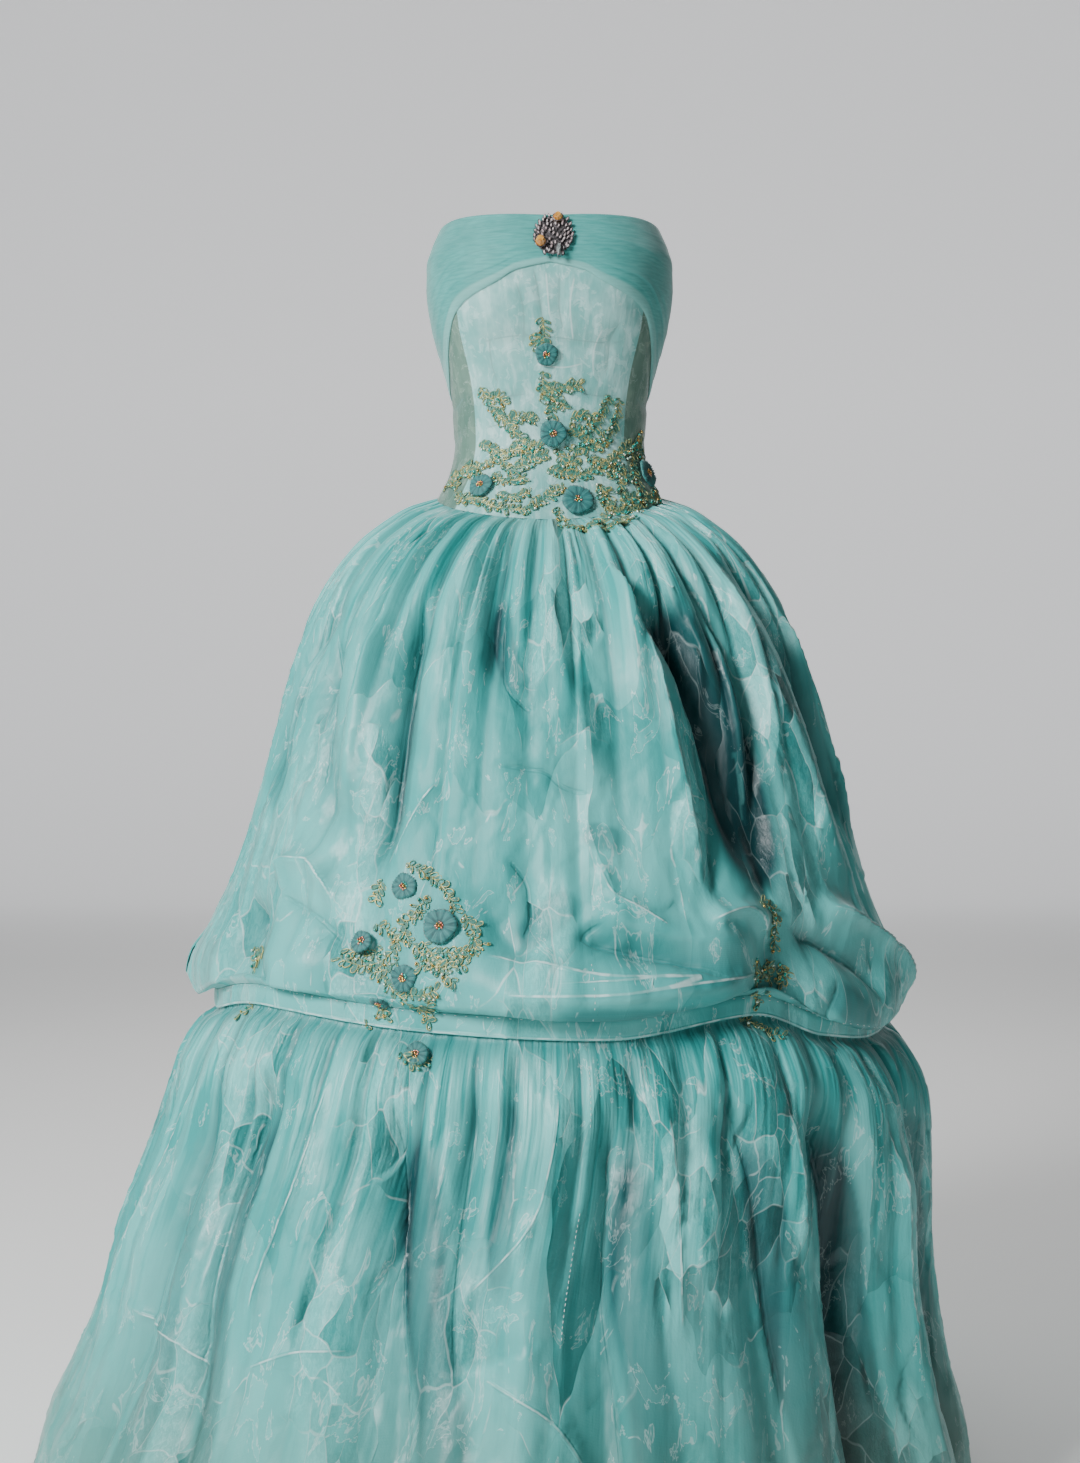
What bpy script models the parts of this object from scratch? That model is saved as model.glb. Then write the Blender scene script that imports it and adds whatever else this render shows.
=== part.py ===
"""Strapless organza ball gown, filled out with nobody inside.

Lengths in the tables are millimetres and angles are degrees, turned into metres where a mesh is made.
Angle 0 is the centre front (-Y) and angles grow towards +X. The origin is the middle of the natural waist.
"""
import math
from collections import namedtuple

import bmesh
import bpy
import numpy as np
from mathutils import Matrix, Vector
from mathutils.bvhtree import BVHTree

MM = 0.001

# Walls and seams
BODICE_WALL = 2.5
DRAPE_WALL = 1.8
SKIRT_WALL = 2.2
BAND_WALL = 2.4
LACE_WALL = 1.5
SEAM_GAP = 0.4          # between two pieces sewn edge to edge
LAY_GAP = 0.3           # between a panel and what is laid on it

# Bodice
PRINCESS_ANGLE = 46.0
SIDE_BACK_ANGLE = 105.0
BASQUE_SIDE = -49.0     # waist seam height at the sides and back
BASQUE_DIP = 36.0       # how much lower the seam is at the centre front
ROUND_OUT = 2.35        # exponent of the bodice sections, 2 would be an ellipse
CUP_PROUD, CUP_ANGLE, CUP_HEIGHT = 7.0, 30.0, 172.0
CUP_SPREAD_ANGLE, CUP_SPREAD_HEIGHT = 19.0, 42.0
DRAPE_STEP = 2.4        # the bodice lies this much deeper under the bust drape
PLEAT_PROUD = 1.2
ZIP_WIDTH, ZIP_OPENING, DRAPE_OPENING = 3.3, 4.0, 9.0
DRAPE_LEVELS = np.linspace(0, 1, 6)
LOWER_LEVELS = np.linspace(1, 2, 6)
BODICE_LEVELS = np.concatenate([DRAPE_LEVELS, LOWER_LEVELS[1:]])
FRONT_COLUMNS, SIDE_COLUMNS, BACK_COLUMNS = 14, 9, 11

# Skirt
OVERSKIRT_COLUMNS = 96  # a ridge and a valley for each of 48 gathers
TIER_COLUMNS = 104      # 52 gathers
BAND_HEIGHT = 21.0
TIER_TUCK = 10.0        # how far the tier reaches up behind the band
HEM_HEIGHT = -1145.0
FRONT_GROWTH, BACK_GROWTH = 0.97, 1.10
TIER_FRONT_GROWTH, TIER_BACK_GROWTH = 0.95, 1.15
POUF_SWELL = 12.0
OVERSKIRT_RADIUS, POUF_RADIUS, TIER_RADIUS = 345.0, 365.0, 460.0    # turn angles into cloth width
START_FADE = 0.22       # share of a fold's length over which it rises from nothing
OVERSKIRT_END_FADE = 0.22
TIER_END_FADE = 0.005   # the tier's folds run on through its hem
BAND_CLEARANCE = 1.0    # between the band and the tier behind it
NORMAL_PROBE = 0.006    # step along a panel's run for its slope
POUF_MIDDLE, POUF_SPREAD = 0.92, 0.08           # shares of the overskirt's run
PICK_UP_WIDTH, PICK_UP_HEIGHT, SWELL_WIDTH = 6.5, 44.0, 11.0
LACE_FLAT_REACH, LACE_FLAT_SHARE = 42.0, 0.85   # cloth held flat round each pick-up spray

# Lace sprays and rosettes
SPRAY_POINTS, SPRAY_SPREAD, SPRAY_LEAVES, SPRAY_SCALLOP = 38, 1.05, 9, 0.10
CUTTER_REACH = 38.0
LAP_COLUMNS, LAP_FIRST_ROW = (-19, 14), 7       # stretch of overskirt that carries the pick-up sprays
ROSETTE_PLEATS, ROSETTE_THICK, ROSETTE_GAP = 14, 3.2, 0.4
SEAT_TURNS, SEAT_SHARES, SEAT_PROBE = 32, (0.0, 0.2, 0.4, 0.6, 0.8, 0.9, 1.0), 60.0

# Brooch and zip pull
BROOCH_ANGLE, BROOCH_HEIGHT = 1.5, 226.0
BROOCH_HALF_WIDTH, BROOCH_HALF_HEIGHT, BROOCH_THICK = 23.0, 26.0, 4.5
SETTING_FACETS, STONE_FACETS = 24, 8
SETTING_TABLE, STONE_TABLE = 0.93, 0.55          # flat front as a share of the girdle
Stone = namedtuple("Stone", "name across up half_width half_height thick tone")
BROOCH_STONES = (
    Stone("brooch_amber_top", 5.0, 20.0, 5.6, 5.2, 5.0, "amber"),
    Stone("brooch_amber_side", -14.0, -11.5, 6.2, 7.0, 6.0, "amber"),
    Stone("brooch_drop", 6.0, -21.0, 3.0, 7.5, 4.0, "drop"),
)
SLIDER_HEIGHT, SLIDER_WIDTH, SLIDER_LENGTH, SLIDER_THICK = 226.0, 6.0, 10.0, 2.2
PULL_LENGTH, PULL_WIDTH, PULL_THICK = 20.0, 4.6, 1.2
WINDOW_WIDTH, WINDOW_LENGTH = 2.8, 6.4
BRIDGE_WIDTH, BRIDGE_THICK, BRIDGE_HALF_LENGTH, BRIDGE_CLEARANCE = 1.8, 0.8, 3.8, 1.0
PIVOT_STANDOFF = 1.2    # pivot axis to the slider's face

Section = namedtuple("Section", "height half_width front_depth back_depth")
SECTIONS = (
    Section(-90, 150.0, 112, 115),
    Section(-50, 128.0, 97, 97),
    Section(-28, 116.7, 88, 88),
    Section(6, 109.3, 82, 81),
    Section(41, 111.0, 85, 81),
    Section(75, 116.7, 91, 84),
    Section(110, 126.5, 99, 88),
    Section(144, 135.7, 106, 92),
    Section(187, 141.5, 112, 94),
    Section(214, 141.0, 111, 93),
    Section(232, 136.0, 106, 92),
    Section(258, 125.0, 97, 91),
)

Edge = namedtuple("Edge", "angle height")
TOP_EDGE = (Edge(0, 249), Edge(25, 252), Edge(52, 254), Edge(80, 250), Edge(110, 243), Edge(180, 237))
DRAPE_LOWER_EDGE = (Edge(0, 196), Edge(15, 187), Edge(22, 176), Edge(46, 148), Edge(57, 121),
                    Edge(73, 82), Edge(90, 65), Edge(120, 56), Edge(180, 45))
OVERSKIRT_HEM = (Edge(-180, -620), Edge(-120, -626), Edge(-75, -620), Edge(-49, -598), Edge(-17, -610),
                 Edge(8, -616), Edge(30, -598), Edge(44, -626), Edge(62, -640), Edge(100, -635),
                 Edge(140, -612), Edge(180, -620))

Girth = namedtuple("Girth", "run half_width")
OVERSKIRT_GIRTHS = (
    Girth(0.0, 128), Girth(0.011, 143), Girth(0.023, 158), Girth(0.057, 182), Girth(0.0875, 202),
    Girth(0.12, 219), Girth(0.191, 248), Girth(0.252, 267), Girth(0.3125, 283), Girth(0.434, 308),
    Girth(0.555, 326), Girth(0.675, 342), Girth(0.795, 362), Girth(0.875, 376), Girth(0.9375, 391),
    Girth(0.977, 392), Girth(1.0, 378),
)
TierGirth = namedtuple("TierGirth", "run half_width middle")
TIER_GIRTHS = (
    TierGirth(0.0, 374.6, 0), TierGirth(0.023, 374.8, 0), TierGirth(0.045, 388, 0),
    TierGirth(0.08, 400, 0), TierGirth(0.13, 414, 0),
    TierGirth(0.256, 433, -8), TierGirth(0.381, 448, -21), TierGirth(0.506, 461, -32),
    TierGirth(0.629, 474, -36), TierGirth(0.75, 494, -44), TierGirth(0.87, 517, -51),
    TierGirth(1.0, 532, -56),
)

Gather = namedtuple("Gather", "run depth")
OVERSKIRT_GATHER = (Gather(0, 0.8), Gather(0.02, 3), Gather(0.06, 6.5), Gather(0.12, 8), Gather(0.2, 7),
                    Gather(0.33, 5), Gather(0.46, 3.2), Gather(0.6, 2.2), Gather(0.9, 1.2), Gather(1, 0))
TIER_GATHER = (Gather(0, 0), Gather(0.023, 0), Gather(0.05, 3.5), Gather(0.09, 5.5), Gather(0.16, 5),
               Gather(0.3, 3), Gather(0.5, 1.8), Gather(1, 0.8))

OVERSKIRT_RUNS = (0, 0.02, 0.06, 0.12, 0.21, 0.33, 0.46, 0.6, 0.73, 0.83, 0.89, 0.935, 0.973, 1)
TIER_RUNS = (0, 0.023, 0.055, 0.12, 0.25, 0.46, 0.72, 1)

# A fold follows its path of (angle, height) points. It falls off over the first width on the side of
# lower angles (or above, for a level fold) and over the second on the other side. Valleys are negative.
Fold = namedtuple("Fold", "path width_before width_after depth")
OVERSKIRT_FOLDS = (
    Fold(((-29, -170), (-28, -306), (-27, -480)), 28, 16, -22),
    Fold(((-53, -200), (-45, -336), (-35, -438)), 23, 30, -14),
    Fold(((-50, -170), (-64, -272), (-57, -400)), 30, 21, -13),
    Fold(((-38, -190), (-37, -300), (-34, -420)), 18, 23, 12),
    Fold(((-14, -110), (-13, -190), (-9, -280)), 16, 23, -12),
    Fold(((-1, -140), (3, -266), (8, -376)), 25, 16, 12),
    Fold(((13, -138), (19, -224), (21, -346), (23, -490)), 34, 10, 17),
    Fold(((18, -160), (28, -286), (32, -470)), 14, 25, -29),
    Fold(((33, -114), (40, -264), (38, -388), (34, -505)), 18, 16, -17),
    Fold(((54, -108), (61, -262), (69, -458)), 25, 18, -16),
    Fold(((44, -134), (50, -326), (60, -540)), 16, 30, 13),
    Fold(((34, -540), (20, -562), (5, -573), (-12, -560)), 20, 20, 20),
    Fold(((31, -556), (14, -534), (3, -512)), 18, 18, -17),
    Fold(((35, -528), (23, -526), (12, -510), (6, -480)), 20, 16, 17),
    Fold(((22, -500), (29, -494), (36, -520)), 14, 14, 14),
    Fold(((-12, -466), (-6, -524), (-2, -544)), 16, 16, -12),
    Fold(((-50, -466), (-42, -450), (-30, -500)), 18, 16, 13),
    Fold(((-55, -486), (-51, -540), (-46, -576)), 14, 18, -14),
    Fold(((38, -508), (50, -544), (60, -580)), 16, 16, -13),
    Fold(((45, -486), (61, -536), (76, -590)), 18, 14, 14),
    Fold(((-88, -180), (-84, -330), (-90, -500)), 23, 32, -17),
    Fold(((-112, -150), (-118, -300), (-124, -500)), 28, 21, -20),
    Fold(((-138, -160), (-140, -300), (-134, -470)), 23, 28, -16),
    Fold(((-160, -130), (-164, -280), (-158, -440)), 21, 30, -17),
    Fold(((84, -170), (90, -330), (90, -520)), 30, 21, -20),
    Fold(((108, -150), (112, -290), (104, -450)), 21, 28, -16),
    Fold(((130, -180), (136, -330), (146, -500)), 28, 21, -19),
    Fold(((158, -140), (156, -300), (160, -520)), 23, 25, -19),
    Fold(((90, -540), (112, -580), (136, -578), (158, -540)), 16, 18, 14),
    Fold(((160, -536), (176, -566), (196, -560), (232, -540)), 16, 18, 14),
    Fold(((-124, -545), (-100, -582), (-76, -572)), 14, 18, 13),
)
TIER_FOLDS = (
    Fold(((-22, -664), (-16, -800), (-10, -1150)), 39, 23, -30),
    Fold(((-10, -640), (-8, -780), (-3, -900)), 23, 29, -15),
    Fold(((7, -650), (9, -830), (13, -1150)), 34, 26, -26),
    Fold(((20, -650), (27, -800), (33, -1150)), 23, 36, -22),
    Fold(((36, -650), (42, -840), (45, -1150)), 29, 39, -33),
    Fold(((62, -660), (68, -830), (72, -1150)), 34, 31, -27),
    Fold(((-41, -640), (-42, -800), (-36, -1150)), 29, 36, -26),
    Fold(((-51, -656), (-52, -860), (-56, -1150)), 31, 29, -22),
    Fold(((-70, -670), (-74, -860), (-78, -1150)), 36, 31, -27),
    Fold(((-2, -760), (1, -900), (2, -1150)), 26, 26, 14),
    Fold(((54, -720), (57, -900), (58, -1150)), 26, 31, 14),
    Fold(((88, -660), (92, -840), (90, -1150)), 34, 34, -26),
    Fold(((106, -650), (110, -860), (114, -1150)), 31, 39, -30),
    Fold(((128, -640), (130, -850), (136, -1150)), 39, 31, -27),
    Fold(((150, -640), (152, -860), (155, -1150)), 34, 36, -33),
    Fold(((172, -650), (174, -850), (172, -1150)), 34, 31, -26),
    Fold(((-96, -650), (-98, -850), (-101, -1150)), 34, 36, -28),
    Fold(((-118, -640), (-122, -860), (-120, -1150)), 39, 31, -26),
    Fold(((-140, -650), (-142, -850), (-143, -1150)), 31, 36, -32),
    Fold(((-164, -640), (-165, -860), (-162, -1150)), 34, 34, -27),
)

# Where the overskirt is caught up against the layer below
PickUp = namedtuple("PickUp", "angle height pull")
PICK_UPS = (PickUp(-53, -542, 20), PickUp(-25, -548, 12), PickUp(34.5, -550, 24), PickUp(90, -545, 22),
            PickUp(160, -540, 20), PickUp(-124, -545, 22))

Seam = namedtuple("Seam", "column name")
OVERSKIRT_SEAMS = (Seam(-23, "overskirt_front_left"), Seam(2, "overskirt_front_right"),
                   Seam(25, "overskirt_back_right"), Seam(49, "overskirt_back_left"))
TIER_SEAMS = (Seam(-25, "tier_front_left"), Seam(2, "tier_front_right"),
              Seam(27, "tier_back_right"), Seam(53, "tier_back_left"))

Rosette = namedtuple("Rosette", "name angle height radius")
BODICE_ROSETTES = (
    Rosette("rosette_bodice_top", -2, 98, 12.5), Rosette("rosette_bodice_middle", 1.5, 12, 15),
    Rosette("rosette_waist_centre", 12.5, -64, 17.5), Rosette("rosette_waist_left", -35, -46, 14),
    Rosette("rosette_waist_right", 61.5, -28, 16),
)
SKIRT_ROSETTES = (
    Rosette("rosette_pickup_top", -22.5, -470, 13.5), Rosette("rosette_pickup_large", -16, -508, 17.5),
    Rosette("rosette_pickup_left", -28, -524, 11.5), Rosette("rosette_pickup_low", -20.5, -556, 13.5),
    Rosette("rosette_tier_top", -18.5, -630, 13),
)

# A spray spreads from its middle. Each arm is (tip angle, tip height, arm width).
Spray = namedtuple("Spray", "name angle height core arms")
BODICE_SPRAYS = (
    Spray("lace_front_stem", -2.5, 96, 9, ((-3.5, 142, 11), (-4, 58, 12), (10, 68, 8), (-9, 82, 8))),
    Spray("lace_front_centre", 1.5, 12, 12,
          ((0, 50, 10), (-36, 62, 12), (-24, 10, 12), (12, 46, 10), (32, 58, 14), (38, 22, 16),
           (10, -28, 12), (-12, -24, 12))),
    Spray("lace_waist_left", -35, -44, 12,
          ((-43, 2, 10), (-66, -38, 12), (-55, -12, 9), (-22, -18, 10), (-10, -52, 12), (-20, -66, 12))),
    Spray("lace_waist_centre", 13, -58, 15, ((2, -36, 9), (-1, -72, 9), (22, -30, 10), (30, -64, 10))),
    Spray("lace_waist_right", 57, -28, 13,
          ((66, 24, 9), (52, 6, 9), (40, -22, 12), (36, -50, 11), (74, -34, 12), (50, -56, 10))),
)
SKIRT_SPRAYS = (
    Spray("lace_pickup_upper", -16, -512, 13,
          ((-20, -452, 10), (-13, -476, 9), (-10.5, -528, 14), (-14, -552, 13), (-20, -520, 8))),
    Spray("lace_pickup_lower", -24, -552, 12,
          ((-28.5, -510, 10), (-32, -540, 10), (-17, -580, 12), (-27, -582, 8))),
    Spray("lace_pickup_left", -52.5, -548, 8, ((-54, -520, 9), (-50, -562, 8), (-53, -580, 8))),
    Spray("lace_pickup_right", 34, -550, 9, ((35, -508, 10), (37, -530, 9), (31, -572, 11))),
)

TONES = {
    # name: (red, green, blue), roughness, metallic
    "bodice": ((0.52, 0.70, 0.66), 0.42, 0.0),
    "drape": ((0.13, 0.46, 0.41), 0.60, 0.0),
    "organza": ((0.24, 0.58, 0.55), 0.35, 0.0),
    "band": ((0.30, 0.62, 0.58), 0.40, 0.0),
    "rosette": ((0.05, 0.30, 0.27), 0.70, 0.0),
    "lace": ((0.42, 0.44, 0.20), 0.50, 0.2),
    "setting": ((0.10, 0.09, 0.10), 0.30, 1.0),
    "amber": ((0.70, 0.30, 0.04), 0.15, 0.0),
    "drop": ((0.25, 0.26, 0.27), 0.20, 0.6),
    "zip": ((0.40, 0.60, 0.56), 0.50, 0.0),
    "metal": ((0.55, 0.56, 0.55), 0.30, 1.0),
}


def clear_scene():
    for thing in list(bpy.data.objects):
        bpy.data.objects.remove(thing, do_unlink=True)


def make_collection(name):
    collection = bpy.data.collections.new(name)
    bpy.context.scene.collection.children.link(collection)
    return collection


def make_material(name):
    colour, roughness, metallic = TONES[name]
    material = bpy.data.materials.new(name)
    material.use_nodes = True
    shader = material.node_tree.nodes["Principled BSDF"]
    shader.inputs["Base Color"].default_value = (*colour, 1.0)
    shader.inputs["Roughness"].default_value = roughness
    shader.inputs["Metallic"].default_value = metallic
    material.diffuse_color = (*colour, 1.0)
    return material


def smooth_curve(xs, ys, at):
    """A curve through the table's points that never swings past them."""
    xs, ys = np.asarray(xs, float), np.asarray(ys, float)
    at = np.clip(np.asarray(at, float), xs[0], xs[-1])
    step = np.diff(xs)
    rise = np.diff(ys) / step
    slope = np.concatenate(([rise[0]], np.zeros(len(xs) - 2), [rise[-1]]))
    together = rise[:-1] * rise[1:] > 0
    product = 2 * rise[:-1] * rise[1:]
    total = np.where(together, rise[:-1] + rise[1:], 1.0)
    slope[1:-1] = np.where(together, product / total, 0.0)
    k = np.clip(np.searchsorted(xs, at) - 1, 0, len(step) - 1)
    t = (at - xs[k]) / step[k]
    start = (1 + 2 * t) * (1 - t) ** 2 * ys[k] + t * (1 - t) ** 2 * step[k] * slope[k]
    end = t * t * (3 - 2 * t) * ys[k + 1] + t * t * (t - 1) * step[k] * slope[k + 1]
    return start + end


def column(table, field):
    return [getattr(row, field) for row in table]


def ramp(value, low, high):
    t = np.clip((value - low) / (high - low), 0.0, 1.0)
    return t * t * (3 - 2 * t)


def wrapped(angle):
    return (np.asarray(angle, float) + 180.0) % 360.0 - 180.0


def mirrored_edge(table, angle):
    return smooth_curve(column(table, "angle"), column(table, "height"), np.abs(wrapped(angle)))


def waist_seam(angle):
    forward = np.maximum(np.cos(np.radians(angle)), 0.0)
    return BASQUE_SIDE - BASQUE_DIP * forward ** 1.5


def hem_line(angle):
    return smooth_curve(column(OVERSKIRT_HEM, "angle"), column(OVERSKIRT_HEM, "height"), wrapped(angle))


def stacked(x, y, z):
    return np.stack(np.broadcast_arrays(x, y, z), axis=-1)


def body(angle, height):
    """Smooth outer form of the bodice, without anatomy: sections rounded between ellipse and box."""
    turn = np.radians(angle)
    sine, cosine = np.sin(turn), np.cos(turn)
    heights = column(SECTIONS, "height")
    half_width = smooth_curve(heights, column(SECTIONS, "half_width"), height)
    front = smooth_curve(heights, column(SECTIONS, "front_depth"), height)
    back = smooth_curve(heights, column(SECTIONS, "back_depth"), height)
    depth = np.where(cosine > 0, front, back)
    swell = (np.abs(sine) ** ROUND_OUT + np.abs(cosine) ** ROUND_OUT) ** (-1 / ROUND_OUT)
    off_cup = (np.abs(wrapped(angle)) - CUP_ANGLE) / CUP_SPREAD_ANGLE
    cup = CUP_PROUD * np.exp(-off_cup ** 2 - ((height - CUP_HEIGHT) / CUP_SPREAD_HEIGHT) ** 2)
    x = half_width * swell * sine + cup * sine
    y = -(depth * swell * cosine + cup * cosine)
    return stacked(x, y, height)


def normal_of(surface, angle, run, run_probe):
    """Unit outward normal of a smooth surface, from its slopes both ways."""
    angle_probe = 0.4
    around = surface(angle + angle_probe, run) - surface(angle - angle_probe, run)
    down = surface(angle, run + run_probe) - surface(angle, run - run_probe)
    normal = np.cross(down, around)
    return normal / np.linalg.norm(normal, axis=-1, keepdims=True)


def body_normal(angle, height):
    return normal_of(body, angle, height, -1.0)


def bodice_height(angle, level):
    """Levels 0 to 1 run from the top edge to the drape's lower edge, and 1 to 2 on to the waist seam."""
    top = mirrored_edge(TOP_EDGE, angle)
    middle = mirrored_edge(DRAPE_LOWER_EDGE, angle)
    seam = waist_seam(angle)
    return np.where(level < 1, top + (middle - top) * level, middle + (seam - middle) * (level - 1))


def bodice_outer(angle, level):
    height = bodice_height(angle, level)
    middle = mirrored_edge(DRAPE_LOWER_EDGE, angle)
    inset = DRAPE_STEP * ramp(height, middle - 24, middle - 3)
    return body(angle, height) - body_normal(angle, height) * inset[..., None]


def overskirt_base(angle, run):
    run = np.clip(run, -0.02, 1.02)
    turn = np.radians(angle)
    seam = waist_seam(angle)
    start = body(angle, seam)
    runs, widths = column(OVERSKIRT_GIRTHS, "run"), column(OVERSKIRT_GIRTHS, "half_width")
    growth = smooth_curve(runs, widths, run) - widths[0]
    depth_growth = growth * np.where(np.cos(turn) > 0, FRONT_GROWTH, BACK_GROWTH)
    bottom = hem_line(angle) + BAND_HEIGHT
    x = start[..., 0] + growth * np.sin(turn)
    y = start[..., 1] - depth_growth * np.cos(turn)
    return stacked(x, y, seam - SEAM_GAP + (bottom - seam) * run)


def tier_base(angle, run):
    turn = np.radians(angle)
    runs = column(TIER_GIRTHS, "run")
    widths = column(TIER_GIRTHS, "half_width")
    half_width = smooth_curve(runs, widths, run)
    middle = smooth_curve(runs, column(TIER_GIRTHS, "middle"), run)
    rim = overskirt_base(angle, np.ones_like(turn))
    growth = half_width - widths[0]
    tucked = 1 - (BAND_WALL + BAND_CLEARANCE) / np.hypot(rim[..., 0], rim[..., 1])
    top = hem_line(angle) + TIER_TUCK
    depth_growth = growth * np.where(np.cos(turn) > 0, TIER_FRONT_GROWTH, TIER_BACK_GROWTH)
    x = rim[..., 0] * tucked + growth * np.sin(turn) + middle
    y = rim[..., 1] * tucked - depth_growth * np.cos(turn)
    return stacked(x, y, top + (HEM_HEIGHT - top) * run)


def column_angles(count):
    """Angles of ridges (even) and valleys (odd), unevenly spaced as hand gathering leaves them."""
    k = np.arange(count)
    uneven = 0.28 * np.sin(2.3 * k) + 0.18 * np.sin(5.1 * k + 1)
    return wrapped(360.0 * (k + uneven) / count)


def gather_relief(table, count, index, run):
    """Ridges and valleys that fade down the panel, some sooner than others."""
    depth = smooth_curve(column(table, "run"), column(table, "depth"), run)
    uneven = 1 + 0.45 * np.sin(1.7 * index + 0.6) * np.sin(0.61 * index)
    ridge = np.where(index % 2 == 0, 1.0, -1.0)
    return ridge * depth * uneven


def path_samples(path, scale):
    stations = np.linspace(0, 1, len(path))
    fine = np.linspace(0, 1, 13)
    across = smooth_curve(stations, [p[0] * scale for p in path], fine)
    heights = smooth_curve(stations, [p[1] for p in path], fine)
    return np.stack([across, heights], axis=-1)


def fold_relief(folds, angle, height, radius, end_fade):
    """Sum of the folds' heights at each point, measured on the skirt laid out flat."""
    relief = np.zeros(np.shape(angle))
    scale = math.radians(radius)
    for fold in folds:
        track = path_samples(fold.path, scale)
        middle_angle = fold.path[len(fold.path) // 2][0]
        across = (wrapped(angle - middle_angle) + middle_angle) * scale
        points = np.stack([across, height], axis=-1)
        nearest = np.full(np.shape(angle), 1e9)
        side = np.zeros(np.shape(angle))
        along = np.zeros(np.shape(angle))
        for k in range(len(track) - 1):
            run = track[k + 1] - track[k]
            t = np.clip(((points - track[k]) @ run) / (run @ run), 0, 1)
            off = points - track[k] - t[..., None] * run
            distance = np.hypot(off[..., 0], off[..., 1])
            closer = distance < nearest
            nearest = np.where(closer, distance, nearest)
            side = np.where(closer, run[0] * off[..., 1] - run[1] * off[..., 0], side)
            along = np.where(closer, (k + t) / (len(track) - 1), along)
        width = np.where(side > 0, fold.width_after, fold.width_before)
        taper = ramp(along, 0.0, START_FADE) * ramp(1 - along, 0.0, end_fade)
        relief += fold.depth * taper * np.exp(-(nearest / width) ** 1.5)
    return relief


def calm(angle, height, radius):
    """1 on open cloth, falling where lace holds the panel flat."""
    flatness = np.zeros(np.shape(angle))
    for spray in SKIRT_SPRAYS:
        across = wrapped(angle - spray.angle) * math.radians(radius)
        reach = np.hypot(across, height - spray.height) / LACE_FLAT_REACH
        flatness = np.maximum(flatness, np.exp(-reach ** 4))
    return 1 - LACE_FLAT_SHARE * flatness


def pouf_relief(angle, run, height):
    swell, pull = np.ones(np.shape(angle)), np.zeros(np.shape(angle))
    for pick_up in PICK_UPS:
        off = wrapped(angle - pick_up.angle)
        swell = swell - np.exp(-(off / SWELL_WIDTH) ** 2)
        rise = (height - pick_up.height) / PICK_UP_HEIGHT
        pull = pull + pick_up.pull * np.exp(-(off / PICK_UP_WIDTH) ** 2 - rise ** 2)
    return POUF_SWELL * np.maximum(swell, 0) * np.exp(-((run - POUF_MIDDLE) / POUF_SPREAD) ** 2) - pull


def overskirt_grid():
    """Outer points, inner points and smooth normals of the whole overskirt, a column for each angle."""
    angles = column_angles(OVERSKIRT_COLUMNS)
    angle, run = np.meshgrid(angles, np.array(OVERSKIRT_RUNS, float), indexing="ij")
    index = np.arange(OVERSKIRT_COLUMNS)[:, None] * np.ones_like(run)
    base = overskirt_base(angle, run)
    normal = normal_of(overskirt_base, angle, run, NORMAL_PROBE)
    height = base[..., 2]
    relief = gather_relief(OVERSKIRT_GATHER, OVERSKIRT_COLUMNS, index, run)
    relief += fold_relief(OVERSKIRT_FOLDS, angle, height, OVERSKIRT_RADIUS, OVERSKIRT_END_FADE)
    relief = relief * calm(angle, height, POUF_RADIUS) + pouf_relief(angle, run, height)
    relief *= 1 - ramp(run, 0.97, 1.0)
    outer = base + normal * relief[..., None]
    return outer, outer - normal * SKIRT_WALL, normal


def tier_grid():
    angles = column_angles(TIER_COLUMNS)
    angle, run = np.meshgrid(angles, np.array(TIER_RUNS, float), indexing="ij")
    index = np.arange(TIER_COLUMNS)[:, None] * np.ones_like(run)
    base = tier_base(angle, run)
    normal = normal_of(tier_base, angle, run, NORMAL_PROBE)
    relief = gather_relief(TIER_GATHER, TIER_COLUMNS, index, run)
    folds = fold_relief(TIER_FOLDS, angle, base[..., 2], TIER_RADIUS, TIER_END_FADE)
    relief += folds * ramp(run, 0.0, 0.12)
    outer = base + normal * relief[..., None]
    return outer, outer - normal * SKIRT_WALL


def add_object(name, mesh_data, collection, tone):
    mesh = bpy.data.meshes.new(name)
    mesh_data.to_mesh(mesh)
    mesh_data.free()
    thing = bpy.data.objects.new(name, mesh)
    collection.objects.link(thing)
    if tone:
        mesh.materials.append(tone)
    return thing


def wall(name, outer, inner, collection, tone, ring=False):
    """A closed wall between two grids of points (columns by rows), in millimetres."""
    columns, rows = outer.shape[:2]
    solid = bmesh.new()
    out = [[solid.verts.new(p * MM) for p in line] for line in outer]
    into = [[solid.verts.new(p * MM) for p in line] for line in inner]
    last = columns if ring else columns - 1
    for i in range(last):
        n = (i + 1) % columns
        for j in range(rows - 1):
            for grid in (out, into):
                solid.faces.new((grid[i][j], grid[i][j + 1], grid[n][j + 1]))
                solid.faces.new((grid[i][j], grid[n][j + 1], grid[n][j]))
        for j in (0, rows - 1):
            solid.faces.new((out[i][j], out[n][j], into[n][j], into[i][j]))
    if not ring:
        for i in (0, columns - 1):
            for j in range(rows - 1):
                solid.faces.new((out[i][j], out[i][j + 1], into[i][j + 1], into[i][j]))
    bmesh.ops.recalc_face_normals(solid, faces=solid.faces)
    thing = add_object(name, solid, collection, tone)
    thing.data.shade_smooth()
    thing.data.set_sharp_from_angle(angle=math.radians(50))
    return thing


def nudged(points, distance):
    """A column of points moved sideways round the body, to leave a seam gap."""
    tangent = np.stack([-points[..., 1], points[..., 0], np.zeros(len(points))], axis=-1)
    return points + tangent / np.linalg.norm(tangent, axis=-1, keepdims=True) * distance


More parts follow.
